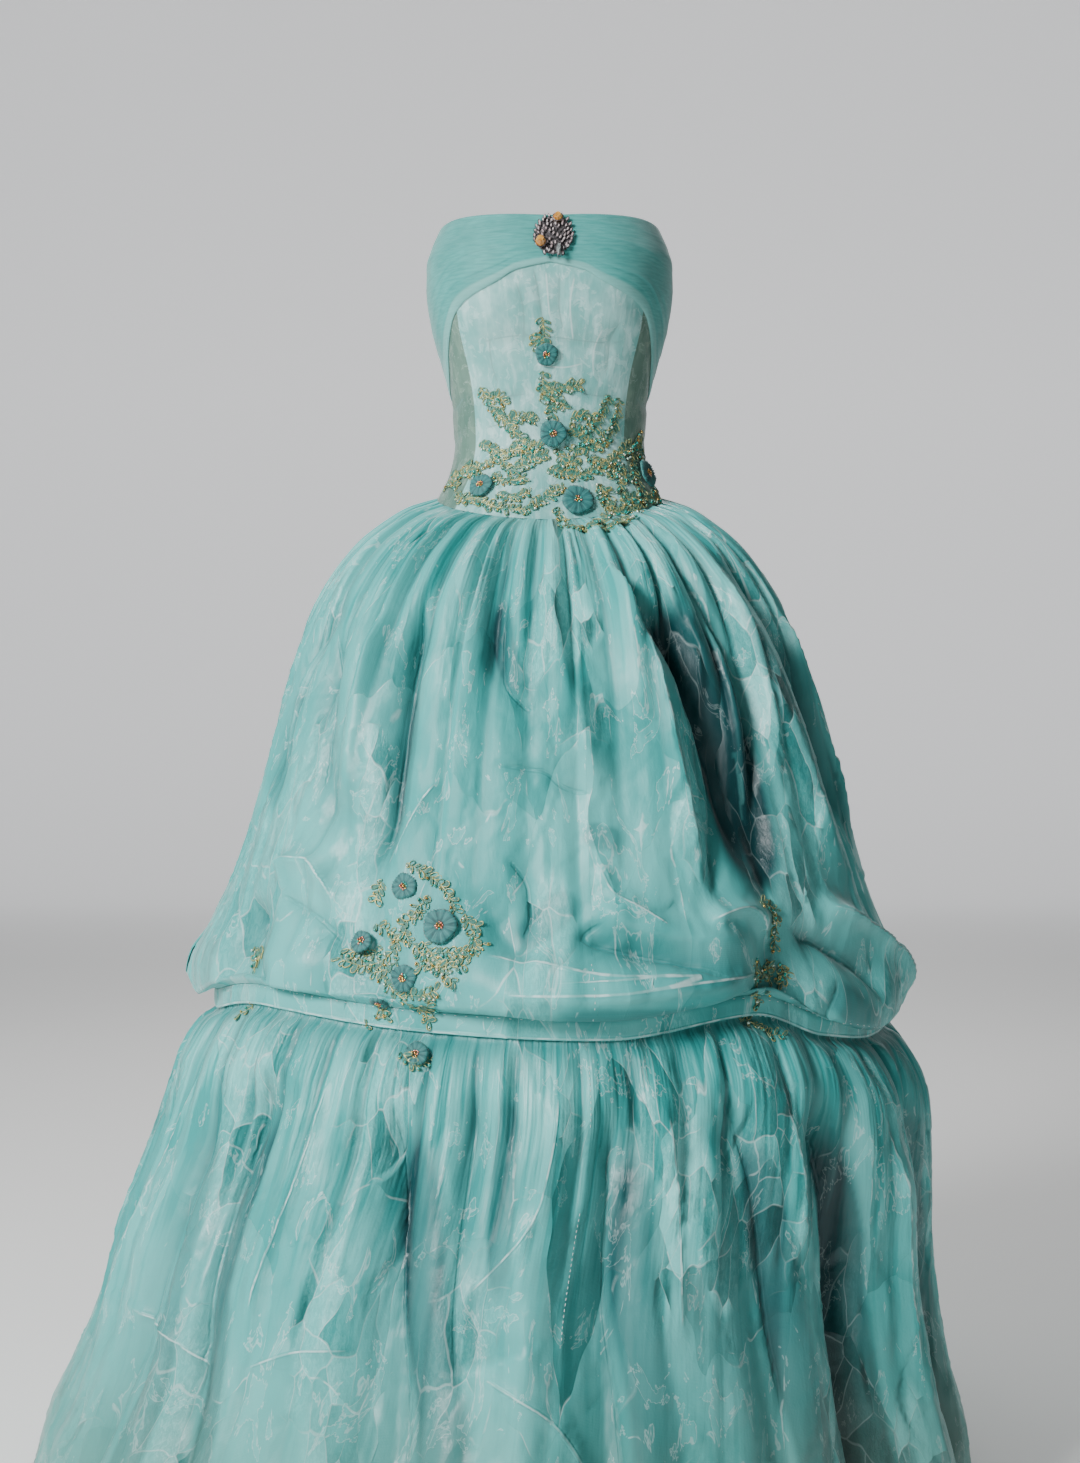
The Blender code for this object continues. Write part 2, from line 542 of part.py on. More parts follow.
def panel_from(outer, inner, start, end):
    """The columns from one seam to the next, with half a gap left at either end."""
    picked = [k % len(outer) for k in range(start, end + 1)]
    panel_outer, panel_inner = outer[picked].copy(), inner[picked].copy()
    for grid in (panel_outer, panel_inner):
        grid[0] = nudged(grid[0], SEAM_GAP / 2)
        grid[-1] = nudged(grid[-1], -SEAM_GAP / 2)
    return panel_outer, panel_inner


def build_gored(outer, inner, seams, collection, tone):
    for seam, following in zip(seams, seams[1:] + seams[:1]):
        end = following.column
        if end <= seam.column:
            end += len(outer)
        wall(seam.name, *panel_from(outer, inner, seam.column, end), collection, tone)


def bodice_columns(start, end, count):
    return np.linspace(start, end, count + 1)


def bodice_grid(angles, levels):
    angle, level = np.meshgrid(np.asarray(angles, float), np.asarray(levels, float), indexing="ij")
    outer = bodice_outer(angle, level)
    normal = body_normal(angle, bodice_height(angle, level))
    return outer, normal


def build_bodice(collection, tone):
    back = 180.0
    cuts = (
        ("bodice_front", -PRINCESS_ANGLE, PRINCESS_ANGLE, FRONT_COLUMNS),
        ("bodice_side_right", PRINCESS_ANGLE, SIDE_BACK_ANGLE, SIDE_COLUMNS),
        ("bodice_side_left", -SIDE_BACK_ANGLE, -PRINCESS_ANGLE, SIDE_COLUMNS),
        ("bodice_back_right", SIDE_BACK_ANGLE, back, BACK_COLUMNS),
        ("bodice_back_left", -back, -SIDE_BACK_ANGLE, BACK_COLUMNS),
    )
    for name, start, end, count in cuts:
        outer, normal = bodice_grid(bodice_columns(start, end, count), BODICE_LEVELS)
        inner = outer - normal * BODICE_WALL
        start_gap = ZIP_OPENING / 2 if start == -back else SEAM_GAP / 2
        end_gap = ZIP_OPENING / 2 if end == back else SEAM_GAP / 2
        for grid in (outer, inner):
            grid[0] = nudged(grid[0], start_gap)
            grid[-1] = nudged(grid[-1], -end_gap)
        wall(name, outer, inner, collection, tone)


def build_bust_drape(collection, tone):
    """Two wings of pleated chiffon, laid on the bodice's own points and moved out."""
    half = np.concatenate([
        bodice_columns(0, PRINCESS_ANGLE, FRONT_COLUMNS // 2),
        bodice_columns(PRINCESS_ANGLE, SIDE_BACK_ANGLE, SIDE_COLUMNS)[1:],
        bodice_columns(SIDE_BACK_ANGLE, 180, BACK_COLUMNS)[1:],
    ])
    pleat = np.where(np.arange(len(DRAPE_LEVELS)) % 2 == 1, PLEAT_PROUD, 0.0)
    for name, angles in (("bust_drape_right", half), ("bust_drape_left", -half[::-1])):
        panel, normal = bodice_grid(angles, DRAPE_LEVELS)
        inner = panel + normal * LAY_GAP
        outer = inner + normal * (DRAPE_WALL + pleat)[None, :, None]
        start_gap = DRAPE_OPENING / 2 if angles[0] < 0 else SEAM_GAP / 2
        end_gap = DRAPE_OPENING / 2 if angles[-1] > 0 else SEAM_GAP / 2
        for grid in (outer, inner):
            grid[0] = nudged(grid[0], start_gap)
            grid[-1] = nudged(grid[-1], -end_gap)
        wall(name, outer, inner, collection, tone)


def build_zip_tape(collection, tone):
    outer, normal = bodice_grid([180.0, 180.0], BODICE_LEVELS)
    inner = outer - normal * BODICE_WALL
    for grid in (outer, inner):
        grid[0] = nudged(grid[0], -ZIP_WIDTH / 2)
        grid[1] = nudged(grid[1], ZIP_WIDTH / 2)
    wall("back_zip", outer, inner, collection, tone)


def build_band(overskirt_outer, collection, tone):
    top = overskirt_outer[:, -1] - np.array([0, 0, SEAM_GAP])
    angles = column_angles(OVERSKIRT_COLUMNS)
    bottom = top.copy()
    bottom[:, 2] = hem_line(angles)
    outer = np.stack([top, bottom], axis=1)
    reach = np.linalg.norm(outer[..., :2], axis=-1, keepdims=True)
    inner = outer.copy()
    inner[..., :2] *= 1 - BAND_WALL / reach
    wall("hem_band", outer, inner, collection, tone, ring=True)


def lap_solid(outer, normal):
    """A closed slab of lace thickness laid over a stretch of panel, in the panel's own facets."""
    under = outer + normal * LAY_GAP
    over = under + normal * LACE_WALL
    slab = wall("lap", over, under, bpy.data.collections["guides"], None)
    slab.hide_render = True
    slab.display_type = "WIRE"
    return slab


def surface_frame(point, normal):
    """Across, up and outward unit vectors at a point of the gown."""
    outward = Vector(normal).normalized()
    across = Vector((0, 0, 1)).cross(outward).normalized()
    return Vector(point), across, outward.cross(across), outward


def spray_outline(spray, radius):
    """Leafy outline round the spray's middle, long where an arm reaches out."""
    turns = np.linspace(0, 2 * math.pi, SPRAY_POINTS, endpoint=False)
    reach = np.full(SPRAY_POINTS, float(spray.core))
    for tip_angle, tip_height, width in spray.arms:
        off = math.radians(tip_angle - spray.angle)
        across = radius * math.sin(off)
        up = tip_height - spray.height
        length = math.hypot(across, up)
        turn = math.atan2(up, across)
        spread = SPRAY_SPREAD * width / max(length, 1.0)
        near = (turns - turn + math.pi) % (2 * math.pi) - math.pi
        reach = np.maximum(reach, spray.core + (length - spray.core) * np.exp(-(near / spread) ** 2))
    reach *= 1 + SPRAY_SCALLOP * np.cos(SPRAY_LEAVES * turns)
    return np.stack([reach * np.cos(turns), reach * np.sin(turns)], axis=-1)


def cut_spray(spray, slab, point, normal, collection, tone):
    middle, across, up, outward = surface_frame(point, normal)
    radius = math.hypot(middle.x, middle.y)
    start = middle - outward * CUTTER_REACH
    cutter_mesh = bmesh.new()
    outline = spray_outline(spray, radius)
    ring = [cutter_mesh.verts.new((start + across * u + up * v) * MM) for u, v in outline]
    face = cutter_mesh.faces.new(ring)
    grown = bmesh.ops.extrude_face_region(cutter_mesh, geom=[face])
    lifted = [v for v in grown["geom"] if isinstance(v, bmesh.types.BMVert)]
    bmesh.ops.translate(cutter_mesh, verts=lifted, vec=outward * 2 * CUTTER_REACH * MM)
    bmesh.ops.recalc_face_normals(cutter_mesh, faces=cutter_mesh.faces)
    cutter = add_object("cutter_" + spray.name, cutter_mesh, bpy.data.collections["guides"], None)
    piece = bpy.data.objects.new(spray.name, slab.data.copy())
    collection.objects.link(piece)
    piece.data.materials.clear()
    piece.data.materials.append(tone)
    trim_with(piece, cutter, "INTERSECT")


def trees_of(names):
    """Search trees of finished pieces, with what has been cut from them."""
    seen = bpy.context.evaluated_depsgraph_get()
    seen.update()
    return [BVHTree.FromObject(bpy.data.objects[name], seen) for name in names]


def proudest(trees, middle, across, up, outward, half_width, half_height):
    """How far the cloth under an oval stands out from its middle point, in millimetres."""
    proud = None
    for k in range(SEAT_TURNS):
        turn = 2 * math.pi * k / SEAT_TURNS
        for share in SEAT_SHARES:
            u = half_width * share * math.cos(turn)
            v = half_height * share * math.sin(turn)
            start = (middle + across * u + up * v + outward * SEAT_PROBE) * MM
            for tree in trees:
                hit = tree.ray_cast(start, -outward)[0]
                if hit is not None:
                    reach = (hit / MM - middle).dot(outward)
                    proud = reach if proud is None else max(proud, reach)
    return proud


def build_rosette(rosette, carriers, point, normal, collection, tone):
    """A gathered chiffon disc with radial pleats, sewn flat on the lace or cloth under it."""
    middle, across, up, outward = surface_frame(point, normal)
    seat = proudest(carriers, middle, across, up, outward, rosette.radius, rosette.radius) + ROSETTE_GAP
    thick, petals = ROSETTE_THICK, ROSETTE_PLEATS
    disc = bmesh.new()

    def place(share, k, lift):
        turn = 2 * math.pi * k / petals
        u, v = rosette.radius * share * math.cos(turn), rosette.radius * share * math.sin(turn)
        return disc.verts.new((middle + across * u + up * v + outward * (seat + lift)) * MM)

    rims = [1.0 if k % 2 == 0 else 0.93 for k in range(petals)]
    backs = [place(rims[k], k, 0) for k in range(petals)]
    tops = [place(rims[k], k, thick * (0.75 if k % 2 == 0 else 0.45)) for k in range(petals)]
    inners = [place(0.5, k, thick * (1.35 if k % 2 == 0 else 0.9)) for k in range(petals)]
    hub = place(0, 0, thick * 0.8)
    disc.faces.new(backs)
    for k in range(petals):
        n = (k + 1) % petals
        disc.faces.new((hub, inners[k], inners[n]))
        disc.faces.new((inners[k], tops[k], tops[n]))
        disc.faces.new((inners[k], tops[n], inners[n]))
        disc.faces.new((tops[k], backs[k], backs[n], tops[n]))
    bmesh.ops.recalc_face_normals(disc, faces=disc.faces)
    add_object(rosette.name, disc, collection, tone)


def build_bodice_trim(collection, lace_tone, rosette_tone):
    angles = np.concatenate([
        bodice_columns(-SIDE_BACK_ANGLE, -PRINCESS_ANGLE, SIDE_COLUMNS)[:-1],
        bodice_columns(-PRINCESS_ANGLE, PRINCESS_ANGLE, FRONT_COLUMNS),
        bodice_columns(PRINCESS_ANGLE, SIDE_BACK_ANGLE, SIDE_COLUMNS)[1:],
    ])
    outer, normal = bodice_grid(angles, LOWER_LEVELS)
    outer[:, -1, 2] += 1.0
    slab = lap_solid(outer, normal)
    for spray in BODICE_SPRAYS:
        cut_spray(spray, slab, *bodice_place(spray), collection, lace_tone)
    carriers = trees_of(["bodice_front", "bodice_side_left", "bodice_side_right"]
                        + [spray.name for spray in BODICE_SPRAYS])
    for rosette in BODICE_ROSETTES:
        build_rosette(rosette, carriers, *bodice_place(rosette), collection, rosette_tone)


def bodice_place(trim):
    """Point on the bodice and outward direction for a spray or rosette."""
    spot, at = np.array(float(trim.angle)), np.array(float(trim.height))
    return body(spot, at), body_normal(spot, at)


def skirt_place(trim):
    """The same on the overskirt, or on the tier for what is sewn below the band."""
    spot = np.array(float(trim.angle))
    if trim.height < hem_line(spot):
        top = hem_line(spot) + TIER_TUCK
        run = (trim.height - top) / (HEM_HEIGHT - top)
        return tier_base(spot, run), normal_of(tier_base, spot, run, NORMAL_PROBE)
    seam = waist_seam(spot)
    run = (trim.height - seam) / (hem_line(spot) + BAND_HEIGHT - seam)
    return overskirt_base(spot, run), normal_of(overskirt_base, spot, run, NORMAL_PROBE)


def build_skirt_trim(outer, normal, collection, lace_tone, rosette_tone):
    columns = [k % len(outer) for k in range(*LAP_COLUMNS)]
    rows = slice(LAP_FIRST_ROW, None)
    slab = lap_solid(outer[columns, rows], normal[columns, rows])
    for spray in SKIRT_SPRAYS:
        cut_spray(spray, slab, *skirt_place(spray), collection, lace_tone)
    carriers = trees_of(["overskirt_front_left", "hem_band", "tier_front_left"]
                        + [spray.name for spray in SKIRT_SPRAYS])
    for rosette in SKIRT_ROSETTES:
        build_rosette(rosette, carriers, *skirt_place(rosette), collection, rosette_tone)


def faceted_stone(name, base_matrix, half_width, half_height, thick, facets, table, collection, tone):
    """A flat-backed stone: a wide girdle and a smaller table, standing along its own Z."""
    stone = bmesh.new()
    bmesh.ops.create_cone(stone, cap_ends=True, segments=facets, radius1=1.0, radius2=table, depth=1.0)
    scale = Matrix.Diagonal((half_width * MM, half_height * MM, thick * MM, 1))
    lift = Matrix.Translation((0, 0, 0.5))
    bmesh.ops.transform(stone, matrix=base_matrix @ scale @ lift, verts=stone.verts)
    return add_object(name, stone, collection, tone)


def build_brooch(collection, tones):
    """Oval setting seated on the drape at the neckline, with two amber stones and a small drop."""
    angle = np.array(BROOCH_ANGLE)
    point = body(angle, np.array(BROOCH_HEIGHT))
    facing = body_normal(angle, np.array(BROOCH_HEIGHT))
    middle, across, up, outward = surface_frame(point, facing)
    wings = trees_of(["bust_drape_left", "bust_drape_right"])
    proud = proudest(wings, middle, across, up, outward, BROOCH_HALF_WIDTH, BROOCH_HALF_HEIGHT)
    turned = Matrix((across, up, outward)).transposed().to_4x4()

    def placed(u, v, lift):
        spot = (middle + across * u + up * v + outward * (proud + lift)) * MM
        return Matrix.Translation(spot) @ turned

    faceted_stone("brooch_setting", placed(0, 0, LAY_GAP), BROOCH_HALF_WIDTH, BROOCH_HALF_HEIGHT,
                  BROOCH_THICK, SETTING_FACETS, SETTING_TABLE, collection, tones["setting"])
    front = LAY_GAP + BROOCH_THICK + LAY_GAP
    for stone in BROOCH_STONES:
        faceted_stone(stone.name, placed(stone.across, stone.up, front), stone.half_width, stone.half_height,
                      stone.thick, STONE_FACETS, STONE_TABLE, collection, tones[stone.tone])


def prism(outline, low, high):
    """A straight prism on an outline in XY, from one height to another, in millimetres."""
    solid = bmesh.new()
    face = solid.faces.new([solid.verts.new(Vector((x, y, low)) * MM) for x, y in outline])
    grown = bmesh.ops.extrude_face_region(solid, geom=[face])
    lifted = [v for v in grown["geom"] if isinstance(v, bmesh.types.BMVert)]
    bmesh.ops.translate(solid, verts=lifted, vec=Vector((0, 0, high - low)) * MM)
    bmesh.ops.recalc_face_normals(solid, faces=solid.faces)
    return solid


def build_zip_pull(collection, tone):
    """Fixed slider with a bridge, and a pull tab whose top bar turns under the bridge about X."""
    tape = float(body(np.array(180.0), np.array(SLIDER_HEIGHT))[1]) - DRAPE_STEP
    face = tape + 0.4 + SLIDER_THICK
    slider = bmesh.new()
    bmesh.ops.create_cube(slider, size=1.0)
    bmesh.ops.scale(slider, vec=Vector((SLIDER_WIDTH, SLIDER_THICK, SLIDER_LENGTH)) * MM, verts=slider.verts)
    slider_middle = Vector((0, face - SLIDER_THICK / 2, SLIDER_HEIGHT))
    bmesh.ops.translate(slider, vec=slider_middle * MM, verts=slider.verts)
    slider_piece = add_object("zip_slider", slider, collection, tone)
    guides = bpy.data.collections["guides"]

    # Side view of the bridge: x is outward from the slider's face, y is up
    low, high, foot, sunk = PIVOT_STANDOFF + BRIDGE_CLEARANCE, BRIDGE_THICK, BRIDGE_HALF_LENGTH, -0.3
    crown = low + high
    arch = [(sunk, -foot), (crown - 0.7, -foot), (crown, -foot + 0.8),
            (crown, foot - 0.8), (crown - 0.7, foot),
            (sunk, foot), (sunk, foot - high), (low - 0.5, foot - high), (low, foot - high - 0.5),
            (low, -foot + high + 0.5), (low - 0.5, -foot + high), (sunk, -foot + high)]
    bridge = prism(arch, -BRIDGE_WIDTH / 2, BRIDGE_WIDTH / 2)
    stand_up = Matrix(((0, 0, 1), (1, 0, 0), (0, 1, 0))).to_4x4()
    seat = Matrix.Translation(Vector((0, face, SLIDER_HEIGHT)) * MM)
    bmesh.ops.transform(bridge, matrix=seat @ stand_up, verts=bridge.verts)
    trim_with(slider_piece, add_object("bridge", bridge, guides, None), "UNION")

    # Front view of the tab: rounded foot, window under the top bar that the bridge passes through
    half, end = PULL_WIDTH / 2, PULL_LENGTH - PULL_WIDTH / 2
    rounds = [math.pi * k / 10 for k in range(11)]
    outline = [(half * math.cos(t), -end - half * math.sin(t)) for t in rounds]
    outline += [(-half, PULL_THICK / 2), (half, PULL_THICK / 2)]
    window = [(-WINDOW_WIDTH / 2, -PULL_THICK / 2), (WINDOW_WIDTH / 2, -PULL_THICK / 2),
              (WINDOW_WIDTH / 2, -WINDOW_LENGTH), (-WINDOW_WIDTH / 2, -WINDOW_LENGTH)]
    lay_up = Matrix.Rotation(math.pi / 2, 3, "X")
    tab = prism(outline, -PULL_THICK / 2, PULL_THICK / 2)
    bmesh.ops.rotate(tab, matrix=lay_up, verts=tab.verts)
    hole = prism(window, -PULL_THICK, PULL_THICK)
    bmesh.ops.rotate(hole, matrix=lay_up, verts=hole.verts)
    pull = add_object("zip_pull", tab, collection, tone)
    cutter = add_object("pull_window", hole, guides, None)
    pull.location = cutter.location = Vector((0, face + PIVOT_STANDOFF, SLIDER_HEIGHT)) * MM
    trim_with(pull, cutter, "DIFFERENCE")


def trim_with(target, tool, operation):
    """Exact Boolean of a guide solid on a piece."""
    tool.hide_render = True
    tool.display_type = "WIRE"
    step = target.modifiers.new(tool.name, "BOOLEAN")
    step.operation = operation
    step.solver = "EXACT"
    step.object = tool


def main():
    clear_scene()
    gown = make_collection("prom_dress")
    make_collection("guides")
    tones = {name: make_material(name) for name in TONES}
    build_bodice(gown, tones["bodice"])
    build_bust_drape(gown, tones["drape"])
    build_zip_tape(gown, tones["zip"])
    outer, inner, normal = overskirt_grid()
    build_gored(outer, inner, OVERSKIRT_SEAMS, gown, tones["organza"])
    build_band(outer, gown, tones["band"])
    build_gored(*tier_grid(), TIER_SEAMS, gown, tones["organza"])
    build_bodice_trim(gown, tones["lace"], tones["rosette"])
    build_skirt_trim(outer, normal, gown, tones["lace"], tones["rosette"])
    build_brooch(gown, tones)
    build_zip_pull(gown, tones["metal"])


main()
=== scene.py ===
# Looks of the strapless organza ball gown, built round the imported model.
# Lengths in the settings are millimetres and angles degrees. Angle 0 is the centre front, growing towards +X.
import math

import bmesh
import bpy
import numpy as np
from mathutils import Matrix, Vector
from mathutils.bvhtree import BVHTree


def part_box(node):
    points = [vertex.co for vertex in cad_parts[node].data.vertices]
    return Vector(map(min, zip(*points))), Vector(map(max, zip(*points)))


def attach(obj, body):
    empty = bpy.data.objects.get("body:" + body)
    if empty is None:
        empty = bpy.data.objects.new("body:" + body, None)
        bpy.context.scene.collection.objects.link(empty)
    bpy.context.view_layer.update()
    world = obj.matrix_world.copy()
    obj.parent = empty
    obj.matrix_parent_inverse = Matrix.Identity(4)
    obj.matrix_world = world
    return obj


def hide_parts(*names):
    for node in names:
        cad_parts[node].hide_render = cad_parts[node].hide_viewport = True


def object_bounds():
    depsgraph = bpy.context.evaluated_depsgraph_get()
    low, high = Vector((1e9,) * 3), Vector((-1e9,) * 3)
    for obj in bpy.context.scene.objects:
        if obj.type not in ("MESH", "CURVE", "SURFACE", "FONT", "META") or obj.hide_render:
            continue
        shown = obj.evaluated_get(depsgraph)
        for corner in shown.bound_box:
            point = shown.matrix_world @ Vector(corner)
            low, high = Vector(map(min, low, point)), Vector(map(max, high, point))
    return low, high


mm = 0.001
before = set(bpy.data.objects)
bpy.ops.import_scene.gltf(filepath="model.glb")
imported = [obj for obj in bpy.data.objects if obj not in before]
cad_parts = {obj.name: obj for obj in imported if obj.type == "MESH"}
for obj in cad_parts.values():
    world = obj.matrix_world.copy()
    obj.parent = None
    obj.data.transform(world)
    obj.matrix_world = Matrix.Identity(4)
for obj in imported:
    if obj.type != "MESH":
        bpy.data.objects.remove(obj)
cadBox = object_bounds()
rng = np.random.default_rng(7)
print("frame loaded")


# The gown's form, the same curves as the construction solids

bodiceShape = {
    "sections": ((-90, 150, 112, 115), (-50, 128, 97, 97), (-28, 116.7, 88, 88), (6, 109.3, 82, 81),
                 (41, 111, 85, 81), (75, 116.7, 91, 84), (110, 126.5, 99, 88), (144, 135.7, 106, 92),
                 (187, 141.5, 112, 94), (214, 141, 111, 93), (232, 136, 106, 92), (258, 125, 97, 91)),
    "topEdge": ((0, 249), (25, 252), (52, 254), (80, 250), (110, 243), (180, 237)),
    "drapeEdge": ((0, 196), (15, 187), (22, 176), (46, 148), (57, 121), (73, 82), (90, 65), (120, 56), (180, 45)),
    "basqueSide": -49, "basqueDip": 36,
    "roundOut": 2.35,
    "cupProud": 7, "cupAngle": 30, "cupHeight": 172, "cupSpread": (19, 42),
    "drapeStep": 2.4,
    "princess": 46, "sideBack": 105,
    "seamGap": 0.4,
}
overskirtShape = {
    "hem": ((-180, -620), (-120, -626), (-75, -620), (-49, -598), (-17, -610), (8, -616), (30, -598),
            (44, -626), (62, -640), (100, -635), (140, -612), (180, -620)),
    "girths": ((0, 128), (.011, 143), (.023, 158), (.057, 182), (.0875, 202), (.12, 219), (.191, 248),
               (.252, 267), (.3125, 283), (.434, 308), (.555, 326), (.675, 342), (.795, 362),
               (.875, 376), (.9375, 391), (.977, 392), (1, 378)),
    "frontGrowth": .97, "backGrowth": 1.10,
    "gathers": 96,
    "gatherDepth": ((0, .8), (.02, 3), (.06, 6.5), (.12, 8), (.2, 7), (.33, 5), (.46, 3.2), (.6, 2.2),
                    (.9, 1.2), (1, 0)),
    "foldRadius": 345, "poufRadius": 365,
    "swell": 12, "swellRun": (.92, .08), "swellWidth": 11,
    "pickUps": ((-53, -542, 20), (-25, -548, 12), (34.5, -550, 24), (90, -545, 22), (160, -540, 20),
                (-124, -545, 22)),
    "pickUpReach": (6.5, 44),
    "laceSpots": ((-16, -512), (-24, -552), (-52.5, -548), (34, -550)),
    "laceFlat": (42, .85),
    "bandHeight": 21,
}
tierShape = {
    "girths": ((0, 374.6, 0), (.023, 374.8, 0), (.045, 388, 0), (.08, 400, 0), (.13, 414, 0),
               (.256, 433, -8), (.381, 448, -21), (.506, 461, -32), (.629, 474, -36), (.75, 494, -44),
               (.87, 517, -51), (1, 532, -56)),
    "frontGrowth": .95, "backGrowth": 1.15,
    "gathers": 104,
    "gatherDepth": ((0, 0), (.023, 0), (.05, 3.5), (.09, 5.5), (.16, 5), (.3, 3), (.5, 1.8), (1, .8)),
    "foldRadius": 460,
    "tuck": 10, "hem": -1145, "behindBand": 3.4,
}

# Folds: path of (angle, height), width before it, width after it, depth (valleys negative)
overskirtFolds = (
    (((-29, -170), (-28, -306), (-27, -480)), 28, 16, -22),
    (((-53, -200), (-45, -336), (-35, -438)), 23, 30, -14),
    (((-50, -170), (-64, -272), (-57, -400)), 30, 21, -13),
    (((-38, -190), (-37, -300), (-34, -420)), 18, 23, 12),
    (((-14, -110), (-13, -190), (-9, -280)), 16, 23, -12),
    (((-1, -140), (3, -266), (8, -376)), 25, 16, 12),
    (((13, -138), (19, -224), (21, -346), (23, -490)), 34, 10, 17),
    (((18, -160), (28, -286), (32, -470)), 14, 25, -29),
    (((33, -114), (40, -264), (38, -388), (34, -505)), 18, 16, -17),
    (((54, -108), (61, -262), (69, -458)), 25, 18, -16),
    (((44, -134), (50, -326), (60, -540)), 16, 30, 13),
    (((34, -540), (20, -562), (5, -573), (-12, -560)), 20, 20, 20),
    (((31, -556), (14, -534), (3, -512)), 18, 18, -17),
    (((35, -528), (23, -526), (12, -510), (6, -480)), 20, 16, 17),
    (((22, -500), (29, -494), (36, -520)), 14, 14, 14),
    (((-12, -466), (-6, -524), (-2, -544)), 16, 16, -12),
    (((-50, -466), (-42, -450), (-30, -500)), 18, 16, 13),
    (((-55, -486), (-51, -540), (-46, -576)), 14, 18, -14),
    (((38, -508), (50, -544), (60, -580)), 16, 16, -13),
    (((45, -486), (61, -536), (76, -590)), 18, 14, 14),
    (((-88, -180), (-84, -330), (-90, -500)), 23, 32, -17),
    (((-112, -150), (-118, -300), (-124, -500)), 28, 21, -20),
    (((-138, -160), (-140, -300), (-134, -470)), 23, 28, -16),
    (((-160, -130), (-164, -280), (-158, -440)), 21, 30, -17),
    (((84, -170), (90, -330), (90, -520)), 30, 21, -20),
    (((108, -150), (112, -290), (104, -450)), 21, 28, -16),
    (((130, -180), (136, -330), (146, -500)), 28, 21, -19),
    (((158, -140), (156, -300), (160, -520)), 23, 25, -19),
    (((90, -540), (112, -580), (136, -578), (158, -540)), 16, 18, 14),
    (((160, -536), (176, -566), (196, -560), (232, -540)), 16, 18, 14),
    (((-124, -545), (-100, -582), (-76, -572)), 14, 18, 13),
)
tierFolds = (
    (((-22, -664), (-16, -800), (-10, -1150)), 39, 23, -30),
    (((-10, -640), (-8, -780), (-3, -900)), 23, 29, -15),
    (((7, -650), (9, -830), (13, -1150)), 34, 26, -26),
    (((20, -650), (27, -800), (33, -1150)), 23, 36, -22),
    (((36, -650), (42, -840), (45, -1150)), 29, 39, -33),
    (((62, -660), (68, -830), (72, -1150)), 34, 31, -27),
    (((-41, -640), (-42, -800), (-36, -1150)), 29, 36, -26),
    (((-51, -656), (-52, -860), (-56, -1150)), 31, 29, -22),
    (((-70, -670), (-74, -860), (-78, -1150)), 36, 31, -27),
    (((-2, -760), (1, -900), (2, -1150)), 26, 26, 14),
    (((54, -720), (57, -900), (58, -1150)), 26, 31, 14),
    (((88, -660), (92, -840), (90, -1150)), 34, 34, -26),
    (((106, -650), (110, -860), (114, -1150)), 31, 39, -30),
    (((128, -640), (130, -850), (136, -1150)), 39, 31, -27),
    (((150, -640), (152, -860), (155, -1150)), 34, 36, -33),
    (((172, -650), (174, -850), (172, -1150)), 34, 31, -26),
    (((-96, -650), (-98, -850), (-101, -1150)), 34, 36, -28),
    (((-118, -640), (-122, -860), (-120, -1150)), 39, 31, -26),
    (((-140, -650), (-142, -850), (-143, -1150)), 31, 36, -32),
    (((-164, -640), (-165, -860), (-162, -1150)), 34, 34, -27),
)

